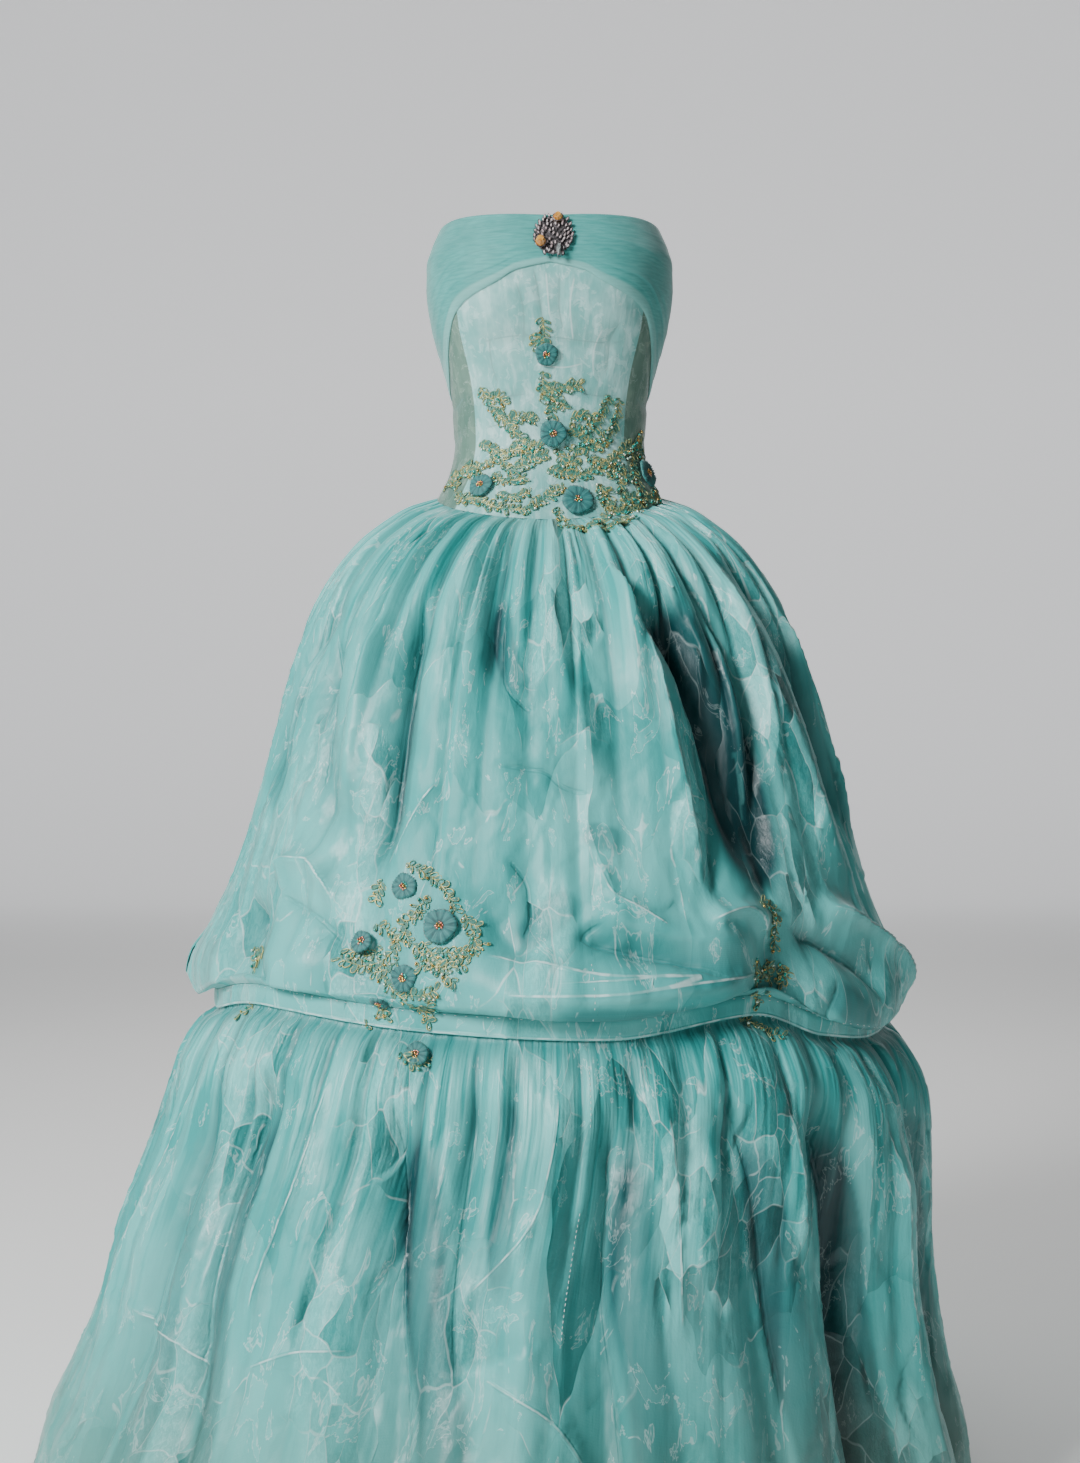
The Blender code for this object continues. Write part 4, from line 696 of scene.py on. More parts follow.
def organzaMaterial(name, tinted):
    look = organzaLook
    material, tree, shader = newMaterial(name)
    weave = nodeIn(tree, "ShaderNodeUVMap", {"uv_map": "cloth"}).outputs[0]
    tall = nodeIn(tree, "ShaderNodeMapping", Rotation=(0., 0., .16), Scale=(1., .42, 1.)).outputs[0]
    streaked = nodeIn(tree, "ShaderNodeMapping", Scale=(1., .05, 1.)).outputs[0]
    for mapping in (tall, streaked):
        wire(tree, weave, mapping.node.inputs[0])
    broad = groupNode(tree, facetGroup, tall, Scale=12., Warp=.07, Line=.011).outputs
    small = groupNode(tree, facetGroup, tall, Scale=46., Warp=.05, Line=.030).outputs
    glint = groupNode(tree, glintGroup, tall, Scale=34., Level=.60).outputs
    lively = span(tree, noise(tree, tall, 9., 2., .5, .6), .52, .60)
    cloudy = noise(tree, weave, 5., 3., .55)
    featherGlint = noise(tree, tall, 260., 4., .7, 1.2)
    fine = attribute(tree, "gathered")
    pleat = noise(tree, streaked, 95., 2., .55, .15)
    # tone: random cloudy and facet tones plus painted highlight from glint milk and feathery glints
    tone = summed(tree, (span(tree, cloudy, .36, .64), .50), (broad["Tone"], .34),
                  (mathNode(tree, "MULTIPLY", span(tree, small["Tone"], 0., 1., -.5, .7), lively), .50),
                  (mathNode(tree, "MULTIPLY", span(tree, featherGlint, .44, .60), lively), .30), (glint["Milk"], .20))
    shaded = mathNode(tree, "MULTIPLY", span(tree, pleat, .50, .36, 0., .65), fine)
    tone = mathNode(tree, "SUBTRACT", tone, shaded, True)
    colour = blendColour(tree, tone, look["mid"], look["pale"])
    # painted shade: the shade bands, the recess shade and dark crease lines, blended toward the shade colour
    shadeBand = mathNode(tree, "MULTIPLY", span(tree, attribute(tree, "shadeBand"), .12, .62), attribute(tree, "shadeBandDark"))
    broken = span(tree, noise(tree, weave, 45., 2., .5), .44, .56)
    crease = mathNode(tree, "MULTIPLY", drawnLine(tree, "crease", 1.5), broken)
    recessShade = mathNode(tree, "MAXIMUM", mathNode(tree, "ADD", shadeBand, attribute(tree, "recessShade"), True),
                      mathNode(tree, "MULTIPLY", crease, .30))
    colour = blendColour(tree, recessShade, colour, look["shadeColour"])
    # painted highlights: bright lines on facet creases, glint rims and fold ridges, fainter in painted shade
    patchy = mathNode(tree, "MULTIPLY", span(tree, noise(tree, weave, 11., 2., .5), .48, .60), broken)
    paintedHighlights = mathNode(tree, "MAXIMUM", mathNode(tree, "MULTIPLY", mathNode(tree, "MULTIPLY", broad["Crease"], patchy), .50),
                    mathNode(tree, "MULTIPLY", mathNode(tree, "MULTIPLY", small["Crease"], lively), .38))
    paintedHighlights = mathNode(tree, "MAXIMUM", paintedHighlights, mathNode(tree, "MULTIPLY", glint["Rim"], .34))
    paintedHighlights = mathNode(tree, "MULTIPLY", paintedHighlights, mathNode(tree, "SUBTRACT", 1., mathNode(tree, "MULTIPLY", recessShade, .6)))
    ridge = mathNode(tree, "MULTIPLY", drawnLine(tree, "ridge", 1.2), span(tree, broken, 0., 1., .18, .55))
    paintedHighlights = mathNode(tree, "MAXIMUM", paintedHighlights, ridge)
    colour = blendColour(tree, paintedHighlights, colour, look["rim"])
    if tinted:
        parts = tree.nodes.new("ShaderNodeSeparateXYZ")
        wire(tree, nodeIn(tree, "ShaderNodeTexCoord").outputs["Object"], parts.inputs[0])
        low = span(tree, parts.outputs[2], tierTint["from"], tierTint["to"], 0., tierTint["most"])
        colour = blendColour(tree, low, colour, tierTint["colour"])
    wire(tree, colour, shader.inputs["Base Color"])
    wire(tree, span(tree, mathNode(tree, "ADD", tone, paintedHighlights, True), 0., 1., .52, .30), shader.inputs["Roughness"])
    shader.inputs["Sheen Weight"].default_value = .12
    shader.inputs["Sheen Roughness"].default_value = .4
    threads = groupNode(tree, weaveGroup, weave, Threads=2600.)
    height = summed(tree, (broad["Tilt"], .50), (mathNode(tree, "MULTIPLY", small["Tilt"], lively), .80),
                    (mathNode(tree, "MULTIPLY", pleat, fine), .0042), (noise(tree, tall, 60., 4., .6, .8), .0009),
                    (mathNode(tree, "MULTIPLY", featherGlint, lively), .0007), (drawnLine(tree, "ridge", 2.6), .0006),
                    (drawnLine(tree, "crease", 3.0), -.0008), (threads.outputs["Height"], .00006))
    bump = nodeIn(tree, "ShaderNodeBump", Strength=1., Distance=1.)
    wire(tree, height, bump.inputs["Height"])
    wire(tree, bump.outputs[0], shader.inputs["Normal"])
    return material


overskirtOrganza = organzaMaterial("overskirtOrganza", False)
tierOrganza = organzaMaterial("tierOrganza", True)


def clothDone(piece, material, node):
    piece.data.materials.append(material)
    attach(piece, "gown")
    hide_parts(node)


# Overskirt

overskirtCut = {
    # node: first and last seam column, columns of cloth, flat width and length in metres
    "overskirt_front_left": (-23, 2, 164, (.66, .60)),
    "overskirt_front_right": (2, 25, 146, (.60, .60)),
    "overskirt_back_right": (25, 49, 96, (.64, .60)),
    "overskirt_back_left": (49, 73, 96, (.64, .60)),
}
overskirtLook = {"rows": (148, 94), "thick": .7, "seam": .03, "crumple": ((0, 0), (.1, .15), (.3, .8), (.8, 1), (1, .9)),
                 "pleated": ((0, .6), (.08, .8), (.2, .5), (.4, .15), (1, 0))}


def calm(angle, height):
    reach, share = overskirtShape["laceFlat"]
    flatness = np.zeros(np.shape(angle))
    for spot, at in overskirtShape["laceSpots"]:
        across = wrapped(angle - spot) * math.radians(overskirtShape["poufRadius"])
        flatness = np.maximum(flatness, np.exp(-(np.hypot(across, height - at) / reach) ** 4))
    return 1 - share * flatness


def poufRelief(angle, run, height):
    swell, pull = np.ones(np.shape(angle)), np.zeros(np.shape(angle))
    wide, high = overskirtShape["pickUpReach"]
    for spot, at, depth in overskirtShape["pickUps"]:
        off = wrapped(angle - spot)
        swell = swell - np.exp(-(off / overskirtShape["swellWidth"]) ** 2)
        pull = pull + depth * np.exp(-(off / wide) ** 2 - ((height - at) / high) ** 2)
    middle, spread = overskirtShape["swellRun"]
    return overskirtShape["swell"] * np.maximum(swell, 0) * np.exp(-((run - middle) / spread) ** 2) - pull, pull


droops = ((52, 17, 19), (-78, 13, 15), (118, 22, 14), (178, 20, 10), (-128, 20, 15), (-45, 9, 4))


def droopBy(angle, run):
    sink = np.full(np.shape(angle), 3.5)
    for spot, width, depth in droops:
        sink = sink + depth * np.exp(-(wrapped(angle - spot) / width) ** 2)
    return sink * ramp(run, .84, .972) * (1 - ramp(run, .974, 1))


def placeOverskirt(angle, run):
    base = overskirtBase(angle, run)
    normal = normalOf(overskirtBase, angle, run)
    height = base[..., 2]
    across = angle * math.radians(overskirtShape["foldRadius"])
    gather, swing = gatherWave(overskirtShape, angle, run)
    main, valley, _ = foldRelief(overskirtFolds, angle, height, overskirtShape["foldRadius"])
    fine, crease, fields = foldRelief(overskirtCreases, angle, height, overskirtShape["foldRadius"], blunt=1.1)
    quiet = calm(angle, height)
    rough = crumpled(across, height, monotone(overskirtLook["crumple"], run) * quiet, 3)
    pouf, pull = poufRelief(angle, run, height)
    relief = (gather + main + fine) * quiet + rough + pouf
    relief *= 1 - ramp(run, .97, 1)
    pleated = np.clip(-swing, 0, 1) * monotone(overskirtShape["gatherDepth"], run) / 8
    fields.update(hollowShade(overskirtShadeBands, angle, height, overskirtShape["foldRadius"]))
    # painted shade in fold valleys, creases, gather valleys and at the pick-ups
    fields["recessShade"] = np.clip((.40 * valley + .60 * crease) * quiet + .7 * pleated + pull / 60, 0, 1)
    fields["gathered"] = monotone(overskirtLook["pleated"], run)
    points = base + normal * relief[..., None]
    points[..., 2] -= droopBy(angle, run)
    return points, across, height, fields


spots = gatherSpots(overskirtShape["gathers"])


def seamAngle(spots, column):
    return spots[column % len(spots)] + 360 * (column // len(spots))


def seamGapAngle(radius):
    return math.degrees(overskirtLook["seam"] / radius)


for node, (first, last, columns, flat) in overskirtCut.items():
    gap = seamGapAngle(250)
    angles = np.linspace(seamAngle(spots, first) + gap, seamAngle(spots, last) - gap, columns + 1)
    rows = np.linspace(0, 1, overskirtLook["rows"][0 if "front" in node else 1] + 1)
    piece = clothPiece(node.title().replace("_", ""), angles, rows, placeOverskirt, overskirtLook["thick"])
    clothDone(piece, overskirtOrganza, node)
print("overskirt done")


# Lower tier

tierCut = {
    "tier_front_left": (-25, 2, 190, (.84, .57)),
    "tier_front_right": (2, 27, 176, (.78, .57)),
    "tier_back_right": (27, 53, 118, (.86, .57)),
    "tier_back_left": (53, 79, 118, (.86, .57)),
}
tierLook = {"rows": (120, 82), "thick": .7, "crumple": ((0, 0), (.06, .3), (.2, 1), (1, 1.1)),
            "pleated": ((0, 1), (.12, 1), (.3, .55), (.55, .22), (1, .08))}


def placeTier(angle, run):
    base = tierBase(angle, run)
    normal = normalOf(tierBase, angle, run)
    height = base[..., 2]
    across = angle * math.radians(tierShape["foldRadius"])
    gather, swing = gatherWave(tierShape, angle, run)
    main, valley, _ = foldRelief(tierFolds, angle, height, tierShape["foldRadius"], .005)
    fine, crease, fields = foldRelief(tierCreases, angle, height, tierShape["foldRadius"], blunt=1.1)
    rough = crumpled(across, height, monotone(tierLook["crumple"], run), 11)
    relief = gather + (main + fine) * ramp(run, 0, .12) + rough
    pleated = np.clip(-swing, 0, 1) * monotone(tierShape["gatherDepth"], run) / 5.5
    shaded = ramp(run, .10, .02)
    fields.update(hollowShade(tierShadeBands, angle, height, tierShape["foldRadius"]))
    # painted shade in valleys, creases and gathers, and at the tier's top under the band
    fields["recessShade"] = np.clip(.28 * valley + .55 * crease + .6 * pleated + .35 * shaded, 0, 1)
    fields["gathered"] = monotone(tierLook["pleated"], run)
    return base + normal * relief[..., None], across, height, fields


tierSpots = gatherSpots(tierShape["gathers"])
for node, (first, last, columns, flat) in tierCut.items():
    gap = seamGapAngle(380)
    angles = np.linspace(seamAngle(tierSpots, first) + gap, seamAngle(tierSpots, last) - gap, columns + 1)
    rows = np.linspace(0, 1, tierLook["rows"][0 if "front" in node else 1] + 1)
    piece = clothPiece(node.title().replace("_", ""), angles, rows, placeTier, tierLook["thick"])
    clothDone(piece, tierOrganza, node)
print("lower tier done")


# Bodice

bodiceCut = {
    # node: first and last angle, columns of cloth, flat width and length in metres, flat area
    "bodice_front": (-46, 46, 84, (.26, .35), .062),
    "bodice_side_right": (46, 105, 46, (.15, .32), .037),
    "bodice_side_left": (-105, -46, 46, (.15, .32), .037),
    "bodice_back_right": (105, 180, 48, (.17, .30), .041),
    "bodice_back_left": (-180, -105, 48, (.17, .30), .041),
}
bodiceLook = {"rows": 84, "thick": 1.2, "foldRadius": 130, "zipHalf": 2.0}
bodiceWrinkles = (
    (((-40, 58), (-26, 54), (-9, 57)), 3, 5, -1.7),
    (((16, 57), (28, 55), (42, 58)), 3, 5, -1.7),
    (((-44, 110), (-12, 118), (24, 111), (42, 116)), 7, 15, -1.5),
    (((-8, 197), (-5, 160), (-3, 124)), 2.5, 4, -1.5),
    (((-2, 192), (-1, 158), (0, 132)), 3, 3, 1.0),
    (((4, 190), (4, 150), (7, 118)), 3, 4, -1.1),
    (((11, 186), (9, 150), (12, 104)), 4, 4, .9),
    (((-15, 178), (-12, 140), (-14, 100)), 4, 5, -.8),
    (((34, 140), (30, 110), (31, 76)), 4, 4, -1.0),
    (((26, 132), (22, 100), (24, 70)), 3, 4, .8),
    (((-30, 120), (-31, 90), (-28, 62)), 4, 5, -.8),
    (((20, 90), (6, 84), (-10, 88)), 4, 5, .8),
    (((-42, 20), (-20, 26), (6, 22)), 4, 6, -.7),
    (((12, -20), (0, -50), (-6, -76)), 4, 4, -.8),
    (((52, 60), (70, 50), (92, 56)), 4, 7, -1.3),
    (((-52, 60), (-70, 48), (-94, 54)), 4, 7, -1.3),
    (((58, 20), (76, 12), (98, 20)), 4, 6, -1.1),
    (((-56, 22), (-78, 10), (-99, 18)), 4, 6, -1.1),
    (((110, 36), (134, 26), (168, 34)), 4, 7, -1.3),
    (((-110, 30), (-136, 22), (-166, 32)), 4, 7, -1.3),
    (((112, -6), (140, -14), (170, -8)), 4, 6, -1.0),
    (((-112, -4), (-138, -14), (-170, -10)), 4, 6, -1.0),
)


def placeBodice(angle, level):
    height = bodiceHeight(angle, level)
    normal = normalOf(body, angle, height, -1)
    across = angle * math.radians(bodiceLook["foldRadius"])
    main, valley, fields = foldRelief(bodiceWrinkles, angle, height, bodiceLook["foldRadius"])
    shown = ramp(level, .98, 1.10) * ramp(2 - level, 0, .08)
    # painted shade in the wrinkle valleys
    fields["recessShade"] = np.clip(.9 * valley * 10, 0, 1) * shown
    relief = main * shown + crumpled(across * 2.2, height * 2.2, .10 * shown, 23)
    return bodiceOuter(angle, level) + normal * relief[..., None], across, height, fields


def satinMaterial(name, pale, mid):
    material, tree, shader = newMaterial(name)
    weave = nodeIn(tree, "ShaderNodeUVMap", {"uv_map": "cloth"}).outputs[0]
    glint = groupNode(tree, glintGroup, weave, Scale=60., Level=.57)
    cloudy = noise(tree, weave, 22., 3., .6)
    tall = nodeIn(tree, "ShaderNodeMapping", Scale=(1., .3, 1.))
    wire(tree, weave, tall.inputs[0])
    upright = span(tree, noise(tree, tall.outputs[0], 95., 3., .6, .4), .46, .66, 0., .5)
    # glint milk is painted highlight, mixed with random cloudy tone and upright streaks
    glintAndTone = mathNode(tree, "ADD", mathNode(tree, "MULTIPLY", glint.outputs["Milk"], .4),
                    span(tree, cloudy, .38, .68, 0., .5), True)
    glintAndTone = mathNode(tree, "ADD", glintAndTone, upright, True)
    colour = blendColour(tree, glintAndTone, mid, pale)
    # painted shade in wrinkle valleys and along crease lines, painted highlight on glint rims and ridge lines
    colour = blendColour(tree, mathNode(tree, "MULTIPLY", attribute(tree, "recessShade"), .45), colour, (.12, .27, .25))
    paintedHighlights = mathNode(tree, "MAXIMUM", mathNode(tree, "MULTIPLY", glint.outputs["Rim"], .22),
                    mathNode(tree, "MULTIPLY", drawnLine(tree, "ridge", 1.3), .38))
    colour = blendColour(tree, paintedHighlights, colour, (.86, .93, .91))
    colour = blendColour(tree, mathNode(tree, "MULTIPLY", drawnLine(tree, "crease", 1.1), .5), colour, (.16, .34, .32))
    wire(tree, colour, shader.inputs["Base Color"])
    wire(tree, span(tree, glintAndTone, 0., 1., .48, .30), shader.inputs["Roughness"])
    shader.inputs["Sheen Weight"].default_value = .3
    shader.inputs["Coat Weight"].default_value = .12
    shader.inputs["Coat Roughness"].default_value = .25
    threads = groupNode(tree, weaveGroup, weave, Threads=3200.)
    height = mathNode(tree, "ADD", noise(tree, tall.outputs[0], 150., 4., .6, .5),
                      mathNode(tree, "MULTIPLY", threads.outputs["Height"], .08))
    bump = nodeIn(tree, "ShaderNodeBump", Strength=1., Distance=.0006)
    wire(tree, height, bump.inputs["Height"])
    wire(tree, bump.outputs[0], shader.inputs["Normal"])
    return material


bodiceSatin = satinMaterial("bodiceSatin", (.46, .77, .74), (.16, .49, .46))
# the side and back panels' satin: greener than the front as its own colour, and made darker as painted shade on the
# sides
sideSatinShaded = satinMaterial("sideSatinShaded", (.20, .33, .26), (.085, .20, .155))
for node, (first, last, columns, flat, area) in bodiceCut.items():
    gap = seamGapAngle(125)
    zipGap = math.degrees(bodiceLook["zipHalf"] / 90)
    angles = np.linspace(first + (zipGap if first == -180 else gap), last - (zipGap if last == 180 else gap),
                         columns + 1)
    rows = np.linspace(0, 2, bodiceLook["rows"] + 1)
    piece = clothPiece(node.title().replace("_", ""), angles, rows, placeBodice, bodiceLook["thick"])
    satin = bodiceSatin if node == "bodice_front" else sideSatinShaded
    clothDone(piece, satin, node)
print("bodice done")


# Bust drape

drapeLook = {
    "columns": 116, "rows": 56, "rollRows": 8, "thick": .8, "layGap": .3, "wall": 1.8, "bodiceWall": 2.5,
    "pleats": (0, .12, .25, .37, .50, .63, .745, .86), "pleatHigh": 1.5, "step": .010,
    "heights": ((.30, .22, .34, .20, .42, .95, .50, 1.0), (.22, .40, .26, .36, .24, .45, .34, 1.0)),
    "lip": 5, "openHalf": 4.5, "edgeDrop": 1.15,
}


def pleatProfile(level, angle):
    # each tuck rises slowly and drops where it lies over the next one
    starts = drapeLook["pleats"] + (1.0,)
    profile, lines = np.zeros(np.shape(level)), np.zeros(np.shape(level))
    for k in range(len(starts) - 1):
        sway = .016 * np.sin(np.radians(angle) * 2.3 + 1.7 * k) + .01 * np.sin(np.radians(angle) * 7 + k)
        inner = 1 if 0 < k else 0
        low, high = starts[k] + sway * inner, starts[k + 1] + sway * (k + 2 < len(starts))
        t = np.clip((level - low) / (high - low), 0, 1)
        drop = ramp(level, high, high - drapeLook["step"])
        part = np.where((level >= low) & (level < high), 1., 0.)
        right, left = (heights[k] for heights in drapeLook["heights"])
        uneven = np.where(wrapped(angle) > 0, right, left) * (.75 + .25 * np.sin(np.radians(angle) * 5 + 2 * k))
        profile += part * drapeLook["pleatHigh"] * uneven * t ** 1.6 * drop
        # lines mark each tuck's drop, where painted shade goes
        lines = np.maximum(lines, np.exp(-((level - high) / .011) ** 2) * np.clip(uneven * 1.1, 0, 1))
    return profile, lines


def placeDrape(angle, row):
    # rows below 0 roll over the neckline and run down inside it
    level = np.clip(row, 0, 1)
    height = bodiceHeight(angle, level)
    normal = normalOf(body, angle, height, -1)
    across = angle * math.radians(bodiceLook["foldRadius"])
    profile, lines = pleatProfile(level, angle)
    reach = drapeLook["layGap"] + drapeLook["wall"]
    out = reach + profile - drapeLook["edgeDrop"] * ramp(level, .93, 1)
    turn = np.clip(-row, 0, 1) * math.pi
    half = (reach + drapeLook["bodiceWall"] + .5) / 2
    out = np.where(row < 0, reach - half + half * np.cos(turn), out)
    up = np.where(row < 0, half * np.sin(turn), 0) - drapeLook["lip"] * np.clip(-row - 1, 0, 1)
    points = bodiceOuter(angle, level) + normal * out[..., None]
    points[..., 2] += up
    # painted shade along each tuck's drop and painted highlight on the tuck crests
    fields = {"recessShade": np.clip(lines * ramp(row, 0, .05), 0, 1), "pale": ramp(row, .86, .90),
              "crestHighlight": np.clip(profile / drapeLook["pleatHigh"], 0, 1) * ramp(row, -.05, .02)}
    return points, across, height, fields


def chiffonMaterial(name, base, shade, light):
    material, tree, shader = newMaterial(name)
    weave = nodeIn(tree, "ShaderNodeUVMap", {"uv_map": "cloth"}).outputs[0]
    streaks = nodeIn(tree, "ShaderNodeMapping", Scale=(.12, 1., 1.))
    wire(tree, weave, streaks.inputs[0])
    threadNoise = noise(tree, streaks.outputs[0], 420., 4., .6)
    cloudy = noise(tree, weave, 16., 3., .55)
    colour = blendColour(tree, span(tree, threadNoise, .36, .66, 0., .5), base, light)
    colour = blendColour(tree, span(tree, cloudy, .35, .68, 0., .35), colour, shade)
    # painted shade along the tuck drops, painted highlight on the tuck crests
    colour = blendColour(tree, mathNode(tree, "MULTIPLY", attribute(tree, "recessShade"), .55), colour, shade)
    colour = blendColour(tree, mathNode(tree, "MULTIPLY", attribute(tree, "crestHighlight"), .38), colour, light)
    colour = blendColour(tree, mathNode(tree, "MULTIPLY", attribute(tree, "pale"), .35), colour, (.36, .68, .64))
    wire(tree, colour, shader.inputs["Base Color"])
    shader.inputs["Roughness"].default_value = .62
    shader.inputs["Sheen Weight"].default_value = .45
    shader.inputs["Sheen Roughness"].default_value = .5
    threads = groupNode(tree, weaveGroup, weave, Threads=2800.)
    height = mathNode(tree, "ADD", threadNoise, mathNode(tree, "MULTIPLY", threads.outputs["Height"], .1))
    bump = nodeIn(tree, "ShaderNodeBump", Strength=.8, Distance=.0005)
    wire(tree, height, bump.inputs["Height"])
    wire(tree, bump.outputs[0], shader.inputs["Normal"])
    return material


drapeChiffon = chiffonMaterial("drapeChiffon", (.035, .34, .31), (.010, .16, .145), (.12, .53, .50))
roll = -np.linspace(2, 0, drapeLook["rollRows"] + 1)[:-1]
drapeRows = np.concatenate([roll, np.linspace(0, 1, drapeLook["rows"] + 1)])
for node, side in (("bust_drape_right", 1), ("bust_drape_left", -1)):
    ends = sorted((side * seamGapAngle(112), side * (180 - math.degrees(drapeLook["openHalf"] / 92))))
    piece = clothPiece(node.title().replace("_", ""), np.linspace(*ends, drapeLook["columns"] + 1), drapeRows,
                       placeDrape, drapeLook["thick"])
    clothDone(piece, drapeChiffon, node)
print("bust drape done")


# Hem band

bandLook = {"columns": 420, "rows": 10, "thick": .8, "pucker": .9, "wave": 1.1, "rim": .93}


def placeBand(angle, share):
    top = overskirtBase(angle, np.ones_like(angle))
    reach = np.hypot(top[..., 0], top[..., 1])
    gather, swing = gatherWave(tierShape, angle, np.full_like(angle, .09))
    edge = 1 - ramp(np.abs(share - .5), .25, .5)
    out = bandLook["wave"] * (.5 + .5 * np.sin(np.radians(angle) * 17)) * edge
    out += bandLook["pucker"] * ramp(share, .55, 1) * np.clip(-swing, 0, 1)
    points = top * (1 + out / reach)[..., None]
    points[..., 2] = top[..., 2] - bodiceShape["seamGap"] - (overskirtShape["bandHeight"] - .4) * share
    across = angle * math.radians(overskirtShape["poufRadius"])
    rim = (share - bandLook["rim"]) * overskirtShape["bandHeight"]
    clear = np.full_like(share, 99.)
    # a painted highlight line along the band's lower fold, and painted shade at its top under the pouf
    fields = {"ridgeSide": rim, "ridgeNear": np.abs(rim), "creaseSide": clear, "creaseNear": clear,
              "recessShade": .35 * ramp(share, .30, 0)}
    return points, across, points[..., 2], fields


piece = clothPiece("HemBand", np.linspace(-180, 180, bandLook["columns"] + 1),
                   np.linspace(0, 1, bandLook["rows"] + 1), placeBand, bandLook["thick"])
joined = bmesh.new()
joined.from_mesh(piece.data)
bmesh.ops.remove_doubles(joined, verts=joined.verts, dist=.00001)
joined.to_mesh(piece.data)
joined.free()
clothDone(piece, overskirtOrganza, "hem_band")
print("hem band done")


# Trims lie on the finished cloth: a ray from outside finds its surface

def treeOf(name):
    cloth = bmesh.new()
    cloth.from_mesh(bpy.data.objects[name].data)
    tree = BVHTree.FromBMesh(cloth)
    cloth.free()
    return tree


clothTrees = [treeOf(node.title().replace("_", ""))
              for node in (*bodiceCut, *overskirtCut, "hem_band", *tierCut)]


def formPoint(angle, height):
    # a point of the smooth form and the way out from it
    angle, height = np.array([float(angle)]), np.array([float(height)])
    seam, hemAt = waistSeam(angle), hemLine(angle)
    if height > seam:
        surface, run, step = body, height, -1
    elif height > hemAt:
        surface, step = overskirtBase, .006
        run = (seam - bodiceShape["seamGap"] - height) / (seam - hemAt - overskirtShape["bandHeight"])
    else:
        surface, step = tierBase, .006
        run = (hemAt + tierShape["tuck"] - height) / (hemAt + tierShape["tuck"] - tierShape["hem"])
    point = surface(angle, run)[0]
    normal = normalOf(surface, angle, run, step)[0]
    return Vector(point) * mm, Vector(normal)


def seated(point, normal, trees, reach=.05):
    start = point + normal * reach
    hits = [tree.ray_cast(start, -normal, 2 * reach) for tree in trees]
    hits = [hit for hit in hits if hit[0] is not None]
    if not hits:
        return point, normal
    hit = min(hits, key=lambda found: found[3])
    facing = hit[1] if hit[1].dot(normal) > 0 else -hit[1]
    return hit[0], (facing + normal * 1.2).normalized()


def alongCloth(path, step):
    # seats a path of (angle, height) on the cloth at even steps, giving points, outward and forward ways
    reach = 3.4 if path[0][1] < -90 else 2.1
    stations = [0.]
    for a, b in zip(path, path[1:]):
        stations.append(stations[-1] + math.hypot((b[0] - a[0]) * reach * 1.7, b[1] - a[1]))
    count = max(3, int(stations[-1] / step) + 1)
    at = np.linspace(0, stations[-1], count)
    spin = monotone([(s, q[0]) for s, q in zip(stations, path)], at)
    rise = monotone([(s, q[1]) for s, q in zip(stations, path)], at)
    places = [seated(*formPoint(a, h), clothTrees) for a, h in zip(spin, rise)]
    points = [place[0] for place in places]
    ways = [(points[min(k + 1, count - 1)] - points[max(k - 1, 0)]).normalized() for k in range(count)]
    return points, [place[1] for place in places], ways


def frameMatrix(point, forward, outward, size=(1, 1, 1)):
    forward = (forward - outward * forward.dot(outward)).normalized()
    across = outward.cross(forward)
    turned = Matrix((forward, across, outward)).transposed().to_4x4()
    return Matrix.Translation(point) @ turned @ Matrix.Diagonal((*size, 1))


def stamp(target, template, matrix, slot=0):
    copy = template.copy()
    copy.transform(matrix)
    target.from_mesh(copy)
    bpy.data.meshes.remove(copy)
    if slot:
        target.faces.ensure_lookup_table()
        for k in range(len(target.faces) - len(template.polygons), len(target.faces)):
            target.faces[k].material_index = slot


def kept(shape, name):
    mesh = bpy.data.meshes.new(name)
    shape.to_mesh(mesh)
    shape.free()
    mesh.shade_smooth()
    return mesh


def leafTemplate(name, halfWide, thread, filled):
    # a loop of cord one unit long from its root, filled with stitches or left open
    loop = bmesh.new()
    bmesh.ops.create_grid(loop, x_segments=12, y_segments=4, size=.5)
    for vert in loop.verts:
        u, v = (vert.co.x + .5) * 2 * math.pi, (vert.co.y + .5) * 2 * math.pi
        narrow = 1 - .3 * math.cos(u)
        middle = Vector((.5 - .5 * math.cos(u), halfWide * math.sin(u) * narrow, .08 * math.sin(u / 2) ** 2))
        away = Vector((-math.cos(u) * halfWide * 2, math.sin(u), 0)).normalized()
        vert.co = middle + (away * math.cos(v) + Vector((0, 0, 1)) * math.sin(v)) * thread
    bmesh.ops.remove_doubles(loop, verts=loop.verts, dist=.0005)
    bmesh.ops.recalc_face_normals(loop, faces=loop.faces)
    if filled:
        made = bmesh.ops.create_circle(loop, cap_ends=True, cap_tris=True, segments=12, radius=.5)["verts"]
        for vert in made:
            u = math.atan2(vert.co.y, -vert.co.x)
            far = vert.co.length / .5
            vert.co = Vector((.5 - .5 * math.cos(u) * far, halfWide * math.sin(u) * far * (1 - .3 * math.cos(u)),
                              .05 + .05 * (1 - far)))
        made = set(made)
        for face in loop.faces:
            if all(v in made for v in face.verts):
                face.material_index = 1
                if face.normal.z < 0:
                    face.normal_flip()
    return kept(loop, name)


def beadTemplate(name):
    bead = bmesh.new()
    bmesh.ops.create_icosphere(bead, subdivisions=2, radius=1)
    return kept(bead, name)


